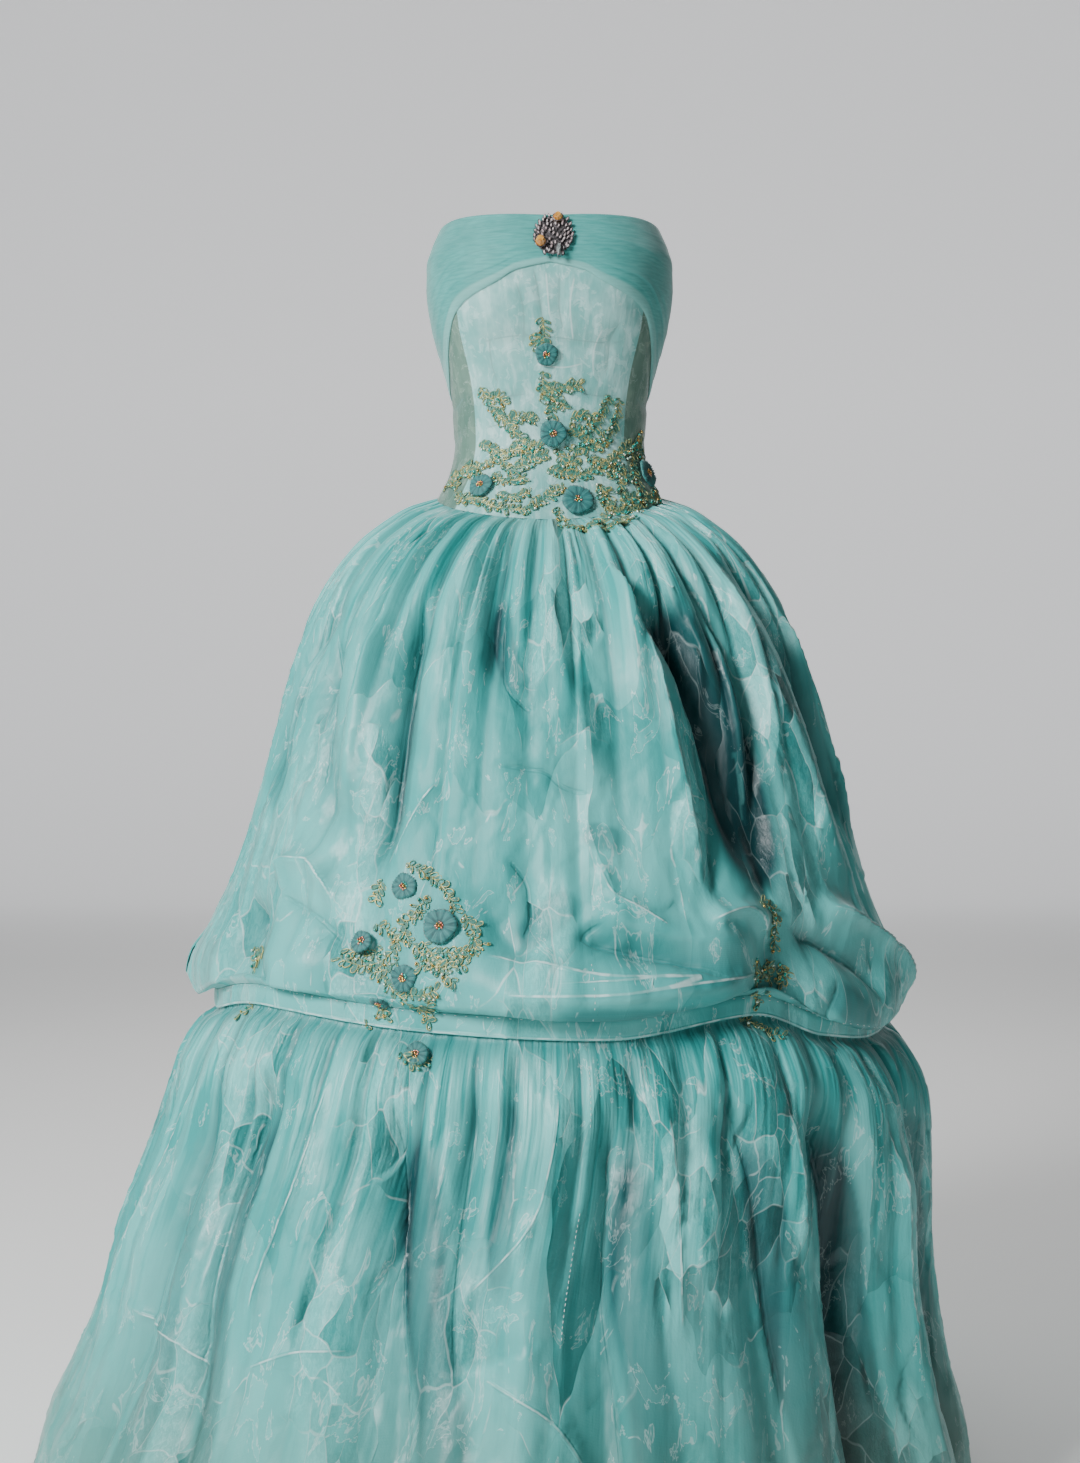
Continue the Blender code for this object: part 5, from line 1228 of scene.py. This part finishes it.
def cordAlong(target, points, normals, radius, lift, sides=5):
    line = bmesh.new()
    bmesh.ops.create_grid(line, x_segments=len(points) - 1, y_segments=sides, size=.5)
    for vert in line.verts:
        k = round((vert.co.x + .5) * (len(points) - 1))
        turn = (vert.co.y + .5) * 2 * math.pi
        ahead = (points[min(k + 1, len(points) - 1)] - points[max(k - 1, 0)]).normalized()
        across = normals[k].cross(ahead).normalized()
        thin = radius * (.35 + .65 * min(1, 4 * k / len(points), 4 * (len(points) - 1 - k) / len(points)))
        vert.co = points[k] + normals[k] * lift + (across * math.cos(turn) + normals[k] * math.sin(turn)) * thin
    bmesh.ops.remove_doubles(line, verts=line.verts, dist=.00001)
    bmesh.ops.recalc_face_normals(line, faces=line.faces)
    mesh = kept(line, "cord")
    target.from_mesh(mesh)
    bpy.data.meshes.remove(mesh)


def trimDone(name, shape, materials, node=None):
    mesh = kept(shape, name)
    for material in materials:
        mesh.materials.append(material)
    piece = bpy.data.objects.new(name, mesh)
    bpy.context.scene.collection.objects.link(piece)
    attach(piece, "gown")
    if node:
        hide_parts(node)
    return piece


def grainyMaterial(name, first, second, scale, rough, metallic=0., bump=0., coat=0., sheen=0.):
    # two tones in fine patches, with bump from the same grain
    material, tree, shader = newMaterial(name)
    place = nodeIn(tree, "ShaderNodeTexCoord").outputs["Object"]
    grain = noise(tree, place, scale, 3., .6)
    wire(tree, blendColour(tree, span(tree, grain, .38, .62), first, second), shader.inputs["Base Color"])
    wire(tree, span(tree, grain, .3, .7, rough * .75, rough * 1.2), shader.inputs["Roughness"])
    shader.inputs["Metallic"].default_value = metallic
    shader.inputs["Coat Weight"].default_value = coat
    shader.inputs["Coat Roughness"].default_value = .08
    shader.inputs["Sheen Weight"].default_value = sheen
    if bump:
        relief = nodeIn(tree, "ShaderNodeBump", Strength=.8, Distance=bump)
        wire(tree, noise(tree, place, scale * 3, 2., .5), relief.inputs["Height"])
        wire(tree, relief.outputs[0], shader.inputs["Normal"])
    return material


# Lace

laceLook = {
    "cord": .0006, "lift": .0009, "step": 2.7,
    "leaf": (.0052, .0100), "spread": (30, 74), "bead": (.0009, .0016), "beadEvery": 2,
}
vines = {
    "lace_front_stem": (
        ((-3.5, 136), (-3, 122), (-3, 112)), ((-3.5, 80), (-4, 64), (2, 50), (1, 32)),
        ((-4.5, 60), (6, 62), (16, 66)), ((-4, 118), (-7, 112), (-6, 106))),
    "lace_front_centre": (
        ((-39.5, 66), (-33.5, 44), (-20.5, 16), (-11.5, 0)), ((-36, 52), (-30, 54), (-25, 46)),
        ((34.5, 56), (28.5, 30), (22.5, 12), (13, 16)), ((41, 54), (39, 28), (31.5, 4), (13, -6)),
        ((-6, 50), (-2, 54), (4, 50), (8, 42)), ((12, 30), (20, 34), (26, 26)),
        ((-24, 24), (-18, 32), (-10, 28)), ((18, 4), (26, 0), (34, 10)),
        ((-42, 6), (-29.5, -8), (-21, -28), (-8.5, -16)), ((-.5, -26), (12, -36), (25.5, -26), (36.5, -14), (51.5, 4)),
        ((4, -4), (8, -18), (16, -24)), ((-16, -4), (-10, -14), (-2, -10)), ((22, -12), (28, -20), (38, -28))),
    "lace_waist_left": (
        ((-70, -44), (-55.5, -30), (-38, -22), (-16, -2), (-5.5, 0)), ((-39, -58), (-22, -72), (-11, -74), (-3, -62), (6.5, -48)),
        ((-62, -22), (-60, -34), (-52, -44)), ((-52, -16), (-46, -26), (-38, -34)),
        ((-30, -30), (-24, -42), (-14, -38)), ((-26, -56), (-18, -60), (-10, -54)), ((-50, -50), (-44, -58), (-34, -62))),
    "lace_waist_centre": (
        ((3.5, -94), (8.5, -100), (18.5, -92), (28, -76), (41.5, -72)), ((4, -72), (4, -82), (6, -92)),
        ((24, -46), (28, -56), (26, -68)), ((16, -100), (24, -94), (32, -84))),
    "lace_waist_right": (
        ((67.5, 20), (51, -12), (49.5, -50), (45, -64)), ((26, -44), (24.5, -66), (27.5, -72)),
        ((44, -20), (38, -34), (36, -52), (40, -66)), ((58, 8), (64, -6), (70, -18)),
        ((30, -36), (36, -30), (44, -36)), ((74, -30), (68, -44), (60, -54)), ((50, -58), (58, -56), (66, -50)),
        ((33, -62), (40, -58), (48, -62))),
    "lace_pickup_upper": (
        ((-22.5, -448), (-17.5, -464), (-15, -480), (-14, -492)), ((-26.5, -464), (-27, -484)),
        ((-20, -498), (-22, -508), (-19, -530), (-15, -550), (-13, -558)), ((-11, -510), (-10.5, -534), (-13.5, -540), (-18.5, -546)),
        ((-18.5, -522), (-16.5, -534), (-12, -533), (-9.5, -524)), ((-17, -538), (-14.5, -548), (-11.5, -545)),
        ((-18, -484), (-20, -490), (-19, -497)), ((-12.5, -496), (-12, -503), (-10.6, -508))),
    "lace_pickup_lower": (
        ((-26.5, -506), (-22.5, -520), (-24.5, -536), (-28, -544), (-31, -540)), ((-24.5, -556), (-21, -576), (-18, -588), (-16, -572)),
        ((-27.5, -608), (-24, -590), (-24, -604)), ((-18, -588), (-17, -606), (-21.5, -608)),
        ((-25, -528), (-27.5, -534), (-30, -531)), ((-20.5, -574), (-17.5, -572), (-15.5, -566)), ((-22, -536), (-23.5, -545), (-26, -552)),
        ((-20.5, -630), (-18, -640), (-16.5, -632))),
    "lace_pickup_right": (
        ((32, -488), (35.5, -494), (36, -512), (36, -528)), ((33, -546), (34, -560), (32.5, -576)),
        ((35.5, -550), (30, -566), (31, -586)), ((27.5, -598), (33.5, -620)), ((37, -540), (37, -560), (35, -574)),
        ((31.5, -540), (30, -552), (31, -562))),
    "lace_pickup_left": (((-54, -532), (-51.5, -548), (-52, -566)), ((-52, -600), (-53.5, -612)), ((-50, -540), (-52.5, -552))),
}

leafTemplates = [leafTemplate("leafNarrow", .21, .075, True), leafTemplate("leafRound", .33, .070, True),
                 leafTemplate("leafOpen", .30, .085, False)]
roundBead = beadTemplate("roundBead")
laceMaterials = [
    grainyMaterial("laceCord", (.56, .52, .20), (.05, .22, .16), 210., .36, .35, .0003, sheen=.2),
    grainyMaterial("laceStitches", (.008, .12, .10), (.05, .24, .18), 500., .6, 0., .0003, sheen=.3),
    grainyMaterial("tealBead", (.01, .30, .25), (.03, .50, .42), 200., .12, .1, coat=.8),
    grainyMaterial("goldBead", (.75, .52, .16), (.55, .30, .10), 200., .2, .9),
    grainyMaterial("clearBead", (.55, .86, .76), (.80, .80, .62), 150., .08, .3, coat=1.),
]
for node, paths in vines.items():
    lace = bmesh.new()
    for path in paths:
        points, normals, ways = alongCloth(path, laceLook["step"])
        cordAlong(lace, points, normals, laceLook["cord"], laceLook["lift"])
        for k in range(len(points)):
            side = 1 if k % 2 else -1
            spread = math.radians(rng.uniform(*laceLook["spread"])) * side
            length = rng.uniform(*laceLook["leaf"])
            across = normals[k].cross(ways[k])
            forward = ways[k] * math.cos(spread) + across * math.sin(spread)
            root = points[k] + normals[k] * laceLook["lift"]
            stamp(lace, leafTemplates[rng.choice(3, p=(.50, .20, .30))],
                  frameMatrix(root, forward, normals[k], (length, length * rng.uniform(.7, 1.1), length)))
            if k % laceLook["beadEvery"] == 0:
                radius = rng.uniform(*laceLook["bead"])
                spot = points[k] + forward * length * rng.uniform(.5, 1.05) + normals[k] * (radius + .0010)
                stamp(lace, roundBead, Matrix.Translation(spot) @ Matrix.Diagonal((radius, radius, radius, 1)),
                      int(rng.choice((2, 3, 4), p=(.50, .22, .28))))
    trimDone(node.title().replace("_", ""), lace, laceMaterials, node)
print("lace done")


# Rosettes

rosetteLook = {"back": .0016, "pleats": 30, "ripple": .0008, "rise": .0034, "beads": 8, "grown": 1.07,
               "noSolid": "rosette_pickup_small"}
rosettes = {
    # node: angle and height of its middle, radius in mm, turn of its pleats
    "rosette_bodice_top": (-2, 98, 12.5, .3), "rosette_bodice_middle": (1.5, 12, 15, 1.1),
    "rosette_waist_centre": (12.5, -64, 17.5, 2.0), "rosette_waist_left": (-35, -46, 14, .7),
    "rosette_waist_right": (61.5, -28, 16, 1.6), "rosette_pickup_top": (-22.5, -470, 13.5, 2.4),
    "rosette_pickup_large": (-16, -508, 17.5, .9), "rosette_pickup_left": (-28, -524, 11.5, 1.9),
    "rosette_pickup_low": (-20.5, -556, 13.5, .2), "rosette_tier_top": (-18.5, -630, 13, 2.8),
    "rosette_pickup_small": (-24.5, -582, 9.5, 1.3),
}


def rosetteShape(radius, turn, matrix):
    look = rosetteLook
    disc = bmesh.new()
    raisedHighlight = disc.verts.layers.float.new("raisedHighlight")
    pleats = look["pleats"]
    bmesh.ops.create_grid(disc, x_segments=pleats * 2, y_segments=12, size=.5)
    for vert in disc.verts:
        k = round((vert.co.x + .5) * pleats * 2)
        spin = 2 * math.pi * k / (pleats * 2)
        s = (vert.co.y + .5) * 1.25
        top = min(s, 1)
        out = top if s <= 1 else 1 - .9 * (s - 1) / .25 * .9
        uneven = 1 + .036 * math.sin(3 * spin + turn) + .03 * math.sin(5 * spin + 2 * turn)
        fold = (1 if k % 2 else -1) * (.6 + .4 * math.sin(4 * spin + turn) * math.sin(7 * spin))
        petal = abs(math.cos(5.5 * spin + turn)) ** .6
        dome = .45 + .55 * math.sin(math.pi * (.16 + .72 * top)) ** .7
        height = look["rise"] * dome - .0022 * ramp(top, .86, 1) + .0011 * (petal - .7) * top
        height += look["ripple"] * fold * (.3 + 1.2 * top) if s <= 1 else 0
        if s > 1:
            height = .0006 * (1.25 - s) / .25 + .0002
        out = out * radius * mm * look["grown"] * (uneven + .026 * fold * top)
        # painted highlight on the raised petals and pleat ridges; the outer edge is made lighter too
        vert[raisedHighlight] = (.78 * petal + .22 * fold) * min(1, top * 2.2) + .30 * ramp(top, .78, .98)
        vert.co = Vector((math.cos(spin) * out, math.sin(spin) * out, height))
    bmesh.ops.remove_doubles(disc, verts=disc.verts, dist=.00001)
    disc.normal_update()
    bmesh.ops.recalc_face_normals(disc, faces=disc.faces)
    bmesh.ops.transform(disc, matrix=matrix, verts=disc.verts)
    return disc


def rosetteMaterial():
    material, tree, shader = newMaterial("rosetteChiffon")
    place = nodeIn(tree, "ShaderNodeTexCoord").outputs["Object"]
    patch = noise(tree, place, 120., 3., .6)
    fibre = noise(tree, place, 2600., 2., .5)
    colour = blendColour(tree, span(tree, patch, .35, .65), (.004, .072, .074), (.014, .15, .15))
    colour = blendColour(tree, span(tree, fibre, .45, .75, 0., .25), colour, (.05, .26, .25))
    # painted highlight on the raised petals and pleat ridges
    colour = blendColour(tree, span(tree, attribute(tree, "raisedHighlight"), .25, 1.15, 0., .9), colour, (.05, .27, .255))
    wire(tree, colour, shader.inputs["Base Color"])
    wire(tree, span(tree, fibre, .3, .7, .5, .8), shader.inputs["Roughness"])
    shader.inputs["Sheen Weight"].default_value = .25
    shader.inputs["Sheen Roughness"].default_value = .5
    relief = nodeIn(tree, "ShaderNodeBump", Strength=.6, Distance=.0002)
    wire(tree, fibre, relief.inputs["Height"])
    wire(tree, relief.outputs[0], shader.inputs["Normal"])
    return material


copperBead = grainyMaterial("copperBead", (.55, .20, .13), (.80, .45, .36), 180., .22, .8)
rosetteCloth = rosetteMaterial()
beads = bmesh.new()
upward = Vector((0, 0, 1))
for node, (angle, height, radius, turn) in rosettes.items():
    point, normal = formPoint(angle, height)
    if node == rosetteLook["noSolid"]:
        middle, solid = seated(point, normal, clothTrees)[0], None
    else:
        low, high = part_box(node)
        middle, solid = (low + high) / 2 - normal * rosetteLook["back"], node
    matrix = frameMatrix(middle, upward.cross(normal), normal)
    piece = trimDone(node.title().replace("_", ""), rosetteShape(radius, turn, matrix), [rosetteCloth],
                     solid)
    size = 2.55 * radius * mm
    for k in range(rosetteLook["beads"] + 1):
        ring = rng.uniform(.0026, .0038) if k else 0
        spin = 2 * math.pi * k / rosetteLook["beads"] + turn
        size = .0018 if k == 0 else rng.uniform(.0011, .0016)
        spot = matrix @ Vector((ring * math.cos(spin), ring * math.sin(spin), .0034))
        stamp(beads, roundBead, Matrix.Translation(spot) @ Matrix.Diagonal((size, size, size, 1)),
              int(rng.choice((0, 1, 2), p=(.6, .25, .15))) if k else 1)
trimDone("RosetteBeads", beads, [copperBead, laceMaterials[3], laceMaterials[2]])
print("rosettes done")


# Brooch

broochLook = {"angle": 1.5, "height": 226.0, "halfWide": 23, "halfHigh": 26, "rows": 9, "stone": (1.4, 2.6)}


def gemTemplate(name, facets, table):
    gem = bmesh.new()
    bmesh.ops.create_cone(gem, cap_ends=True, segments=facets, radius1=1, radius2=table, depth=1)
    mesh = kept(gem, name)
    mesh.shade_flat()
    return mesh


def clawMaterial():
    return grainyMaterial("antiqueSilver", (.07, .065, .07), (.28, .26, .27), 320., .34, .8, .0002)


def stoneMaterial(name, first, second, scale, rough, see):
    material, tree, shader = newMaterial(name)
    place = nodeIn(tree, "ShaderNodeTexCoord").outputs["Object"]
    cloud = noise(tree, place, scale, 2., .5, .6)
    wire(tree, blendColour(tree, span(tree, cloud, .36, .64), first, second), shader.inputs["Base Color"])
    wire(tree, span(tree, cloud, .3, .7, rough, rough * 1.6), shader.inputs["Roughness"])
    shader.inputs["IOR"].default_value = 1.62
    shader.inputs["Transmission Weight"].default_value = see
    shader.inputs["Coat Weight"].default_value = .6
    shader.inputs["Coat Roughness"].default_value = .04
    return material


low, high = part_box("brooch_setting")
_, facing = formPoint(broochLook["angle"], broochLook["height"])
backMiddle = (low + high) / 2 - facing * .0022
broochPlace = frameMatrix(backMiddle, Vector((0, 0, 1)).cross(facing), facing)
setting = bmesh.new()
plate = gemTemplate("plate", 28, .93)
stamp(setting, plate, broochPlace @ Matrix.Diagonal((.0212, .0242, .0016, 1)) @ Matrix.Translation((0, 0, .5)))
gem, claw = gemTemplate("gem", 8, .5), gemTemplate("claw", 10, .86)
openings = ((8, 2.5, 4.2), (-7.5, -1.5, 3.4), (1.5, -6.5, 3.6))
covered = ((5.0, 20.0, 6.0), (-14.0, -11.5, 7.4), (6.0, -19.0, 3.8), (6.0, -24.0, 3.8))
for row in range(broochLook["rows"]):
    v = (row / (broochLook["rows"] - 1) * 2 - 1) * (broochLook["halfHigh"] - 3.2)
    span0 = math.sqrt(max(0, 1 - (v / broochLook["halfHigh"]) ** 2)) * (broochLook["halfWide"] - 2.4)
    count = max(2, int(span0 * 2 / 4.0) + 1)
    for k in range(count):
        u = (2 * k / (count - 1) - 1) * span0 + rng.uniform(-.5, .5)
        w = v + rng.uniform(-.7, .7) + (1.2 if k % 2 else -1.2)
        if any(math.hypot(u - a, w - b) < r for a, b, r in openings + covered):
            continue
        lean = rng.uniform(-.35, .35) - u * .02
        size = rng.uniform(.88, 1.12)
        at = broochPlace @ Matrix.Translation((u * mm, w * mm, .0014)) @ Matrix.Rotation(lean, 4, "Z")
        wide, tall = (dimension * size * mm for dimension in broochLook["stone"])
        stamp(setting, claw, at @ Matrix.Diagonal((wide * 1.3, tall * 1.16, .0016, 1)) @ Matrix.Translation((0, 0, .5)))
        stamp(setting, gem, at @ Matrix.Diagonal((wide, tall, .0017, 1)) @ Matrix.Translation((0, 0, 1.0)), 1)
        for end in (-1, 1):
            prong = at @ Matrix.Translation((0, end * tall * 1.04, .0019)) @ Matrix.Diagonal((.0005, .0005, .0006, 1))
            stamp(setting, roundBead, prong)
silver = clawMaterial()
brooch = trimDone("BroochSetting", setting, [silver, stoneMaterial("blushStone", (.62, .48, .49), (.88, .80, .80), 90., .08, .2)],
                  "brooch_setting")
brooch.data.shade_flat()
amberStone = stoneMaterial("amberStone", (.62, .24, .03), (.86, .46, .10), 130., .06, .15)
greyStone = stoneMaterial("greyStone", (.10, .12, .12), (.34, .38, .38), 160., .08, .1)
for node, material in (("brooch_amber_top", amberStone), ("brooch_amber_side", amberStone), ("brooch_drop", greyStone)):
    mesh = bpy.data.objects[node].data
    mesh.materials.clear()
    mesh.materials.append(material)
bezels = bmesh.new()
collar = bmesh.new()
bmesh.ops.create_grid(collar, x_segments=20, y_segments=6, size=.5)
for vert in collar.verts:
    u, v = (vert.co.x + .5) * 2 * math.pi, (vert.co.y + .5) * 2 * math.pi
    out = 1 + .12 * math.cos(v)
    vert.co = Vector((math.cos(u) * out, math.sin(u) * out, .12 * math.sin(v)))
bmesh.ops.remove_doubles(collar, verts=collar.verts, dist=.0001)
bmesh.ops.recalc_face_normals(collar, faces=collar.faces)
collarMesh = kept(collar, "collar")
for u, v, halfWide, halfHigh in ((5.0, 20.0, 5.6, 5.2), (-14.0, -11.5, 6.2, 7.0), (6.0, -21.0, 3.0, 7.5)):
    at = broochPlace @ Matrix.Translation((u * mm, v * mm, .0056)) @ Matrix.Diagonal((halfWide * mm, halfHigh * mm, .006, 1))
    stamp(bezels, collarMesh, at)
ring = broochPlace @ Matrix.Translation((6 * mm, -29.5 * mm, .0050)) @ Matrix.Diagonal((.0018, .0022, .004, 1))
stamp(bezels, collarMesh, ring)
trimDone("BroochBezels", bezels, [silver])
print("brooch done")


# Zip

zipLook = {"halfTape": 1.65, "tooth": 1.7, "top": 222, "bottom": -44, "thick": 1.0}


def placeTape(across, level):
    angle = np.full_like(level, 180.)
    points = bodiceOuter(angle, level)
    points[..., 0] += across
    # the whole tape is darkened evenly through the painted-shade channel
    fields = {"recessShade": np.full_like(level, .25)}
    fields.update({kind: np.full_like(level, 99.) for kind in ("ridgeSide", "ridgeNear", "creaseSide", "creaseNear")})
    return points, across, bodiceHeight(angle, level), fields


tape = clothPiece("BackZip", np.linspace(-zipLook["halfTape"], zipLook["halfTape"], 5),
                  np.linspace(0, 2, 61), placeTape, zipLook["thick"])
clothDone(tape, sideSatinShaded, "back_zip")
nickel = grainyMaterial("satinNickel", (.42, .42, .41), (.62, .62, .60), 240., .28, 1., .0001)
teeth = bmesh.new()
tooth = bmesh.new()
bmesh.ops.create_cube(tooth, size=1)
bmesh.ops.bevel(tooth, geom=list(tooth.edges), offset=.12, segments=1, profile=.5, affect="EDGES", material=-1)
toothMesh = kept(tooth, "tooth")
at = zipLook["bottom"]
side = 1
while at < zipLook["top"]:
    point, normal = formPoint(180, at)
    level = bodiceShape["drapeStep"] * float(ramp(np.array(at), 45 - 24, 45 - 3)) * mm
    spot = point - normal * level + normal * .0001
    stamp(teeth, toothMesh, frameMatrix(spot + Vector((side * .0006, 0, 0)), Vector((1, 0, 0)), normal,
                                        (.0021, .0010, .0009)))
    at += zipLook["tooth"] / 2
    side = -side
trimDone("ZipTeeth", teeth, [nickel])
for node in ("zip_slider", "zip_pull"):
    mesh = bpy.data.objects[node].data
    mesh.materials.clear()
    mesh.materials.append(nickel)
print("zip done")


# Stitches

stitchLook = {"long": .0030, "wide": .00062, "gap": 4.9}
stitchThread = grainyMaterial("whiteThread", (.86, .90, .88), (.70, .80, .78), 900., .55, 0., .0001, sheen=.3)
stitches = bmesh.new()
loopStitch = bmesh.new()
bmesh.ops.create_icosphere(loopStitch, subdivisions=1, radius=.5)
stitchMesh = kept(loopStitch, "stitch")


def sewn(path, gap, size):
    points, normals, ways = alongCloth(path, gap)
    for point, normal, way in zip(points, normals, ways):
        stamp(stitches, stitchMesh, frameMatrix(point + normal * .0003, way, normal, size))


seamNear = seamAngle(spots, 2)
for path in (((seamNear - .5, -104), (seamNear - .5, -196)), ((seamNear - .5, -548), (seamNear - .4, -590))):
    sewn(path, stitchLook["gap"], (.0034, .0007, .0007))
tierSeam = seamAngle(tierSpots, 2)
for path in (((tierSeam - .4, -640), (tierSeam - .4, -690)), ((tierSeam - .4, -770), (tierSeam - .4, -880))):
    sewn(path, stitchLook["gap"], (.0034, .0007, .0007))
bandAngles = np.linspace(-180, 180, 41)
for near, lower in ((overskirtShape["bandHeight"] - 2.2, False), (2.0, True)):
    sewn([(float(a), float(hemLine(np.array(a))) + near) for a in bandAngles], 9.0 if not lower else 5.2,
         (.0030, .0006, .0006))
trimDone("Stitches", stitches, [stitchThread])
print("stitches done")


# Studio

studio = {
    "floorDrop": .002, "floorSize": 30, "wallBack": 10, "bend": 3, "wallHigh": 8,
    "colour": (.88, .88, .87), "glow": .62,
    "eye": (-.011, -2.2, -.317), "lens": 47.07,
}


def softLight(name, place, target, size, power, colour=(1, 1, 1)):
    lamp = bpy.data.lights.new(name, "AREA")
    lamp.shape = "RECTANGLE"
    lamp.size, lamp.size_y = size
    lamp.energy = power
    lamp.color = colour
    holder = bpy.data.objects.new(name, lamp)
    holder.location = place
    holder.rotation_euler = (Vector(target) - Vector(place)).to_track_quat("-Z", "Y").to_euler()
    bpy.context.scene.collection.objects.link(holder)


def makeStudio():
    floor = bmesh.new()
    depth = cadBox[0][2] - studio["floorDrop"]
    half, back = studio["floorSize"] / 2, studio["wallBack"]
    edge = [floor.verts.new((-half, -half, depth)), floor.verts.new((half, -half, depth))]
    line = floor.edges.new(edge)
    ends = [line]
    steps = [(0, half + back - studio["bend"], 0)]
    for k in range(12):
        turn = math.radians(90 * (k + .5) / 12)
        reach = studio["bend"] * math.pi / 24
        steps.append((0, reach * math.cos(turn), reach * math.sin(turn)))
    steps.append((0, 0, studio["wallHigh"]))
    for step in steps:
        grown = bmesh.ops.extrude_edge_only(floor, edges=ends)["geom"]
        ends = [item for item in grown if isinstance(item, bmesh.types.BMEdge)]
        bmesh.ops.translate(floor, vec=step, verts=[v for v in grown if isinstance(v, bmesh.types.BMVert)])
        ends = [e for e in ends if all(v in grown for v in e.verts)]
    bmesh.ops.recalc_face_normals(floor, faces=floor.faces)
    mesh = bpy.data.meshes.new("studioFloor")
    floor.to_mesh(mesh)
    floor.free()
    mesh.shade_smooth()
    piece = bpy.data.objects.new("studioFloor", mesh)
    bpy.context.scene.collection.objects.link(piece)
    material, tree, shader = newMaterial("studioPaper")
    shader.inputs["Base Color"].default_value = (*studio["colour"], 1)
    shader.inputs["Roughness"].default_value = .9
    place = tree.nodes.new("ShaderNodeSeparateXYZ")
    wire(tree, nodeIn(tree, "ShaderNodeTexCoord").outputs["Object"], place.inputs[0])
    lit = mathNode(tree, "MULTIPLY", span(tree, place.outputs[1], 3., 10., 0., studio["glow"]),
                   span(tree, mathNode(tree, "ABSOLUTE", place.outputs[0]), 8., 4.))
    shader.inputs["Emission Color"].default_value = (.96, .97, 1., 1)
    wire(tree, lit, shader.inputs["Emission Strength"])
    mesh.materials.append(material)
    softLight("keyLight", (-2.5, -2.8, 1.5), (0, 0, -.4), (1.3, 1.3), 232)
    softLight("fillLight", (2.6, -2.4, .6), (0, 0, -.4), (2.5, 2.5), 2)
    softLight("topLight", (-1.0, .3, 3.0), (0, 0, -.3), (2.2, 2.2), 34)
    softLight("backLight", (.3, 3.4, 3.4), (0, 0, -.4), (1.6, 1.6), 110)
    world = bpy.data.worlds.new("studioWorld")
    world.use_nodes = True
    world.node_tree.nodes["Background"].inputs[0].default_value = (.86, .88, .90, 1)
    world.node_tree.nodes["Background"].inputs[1].default_value = .09
    bpy.context.scene.world = world
    view = bpy.data.cameras.new("photoView")
    view.lens = studio["lens"]
    view.sensor_width = 36
    camera = bpy.data.objects.new("photoView", view)
    camera.location = studio["eye"]
    camera.rotation_euler = (math.pi / 2, 0, 0)
    bpy.context.scene.collection.objects.link(camera)
    bpy.context.scene.camera = camera


makeStudio()

print("gown finished")
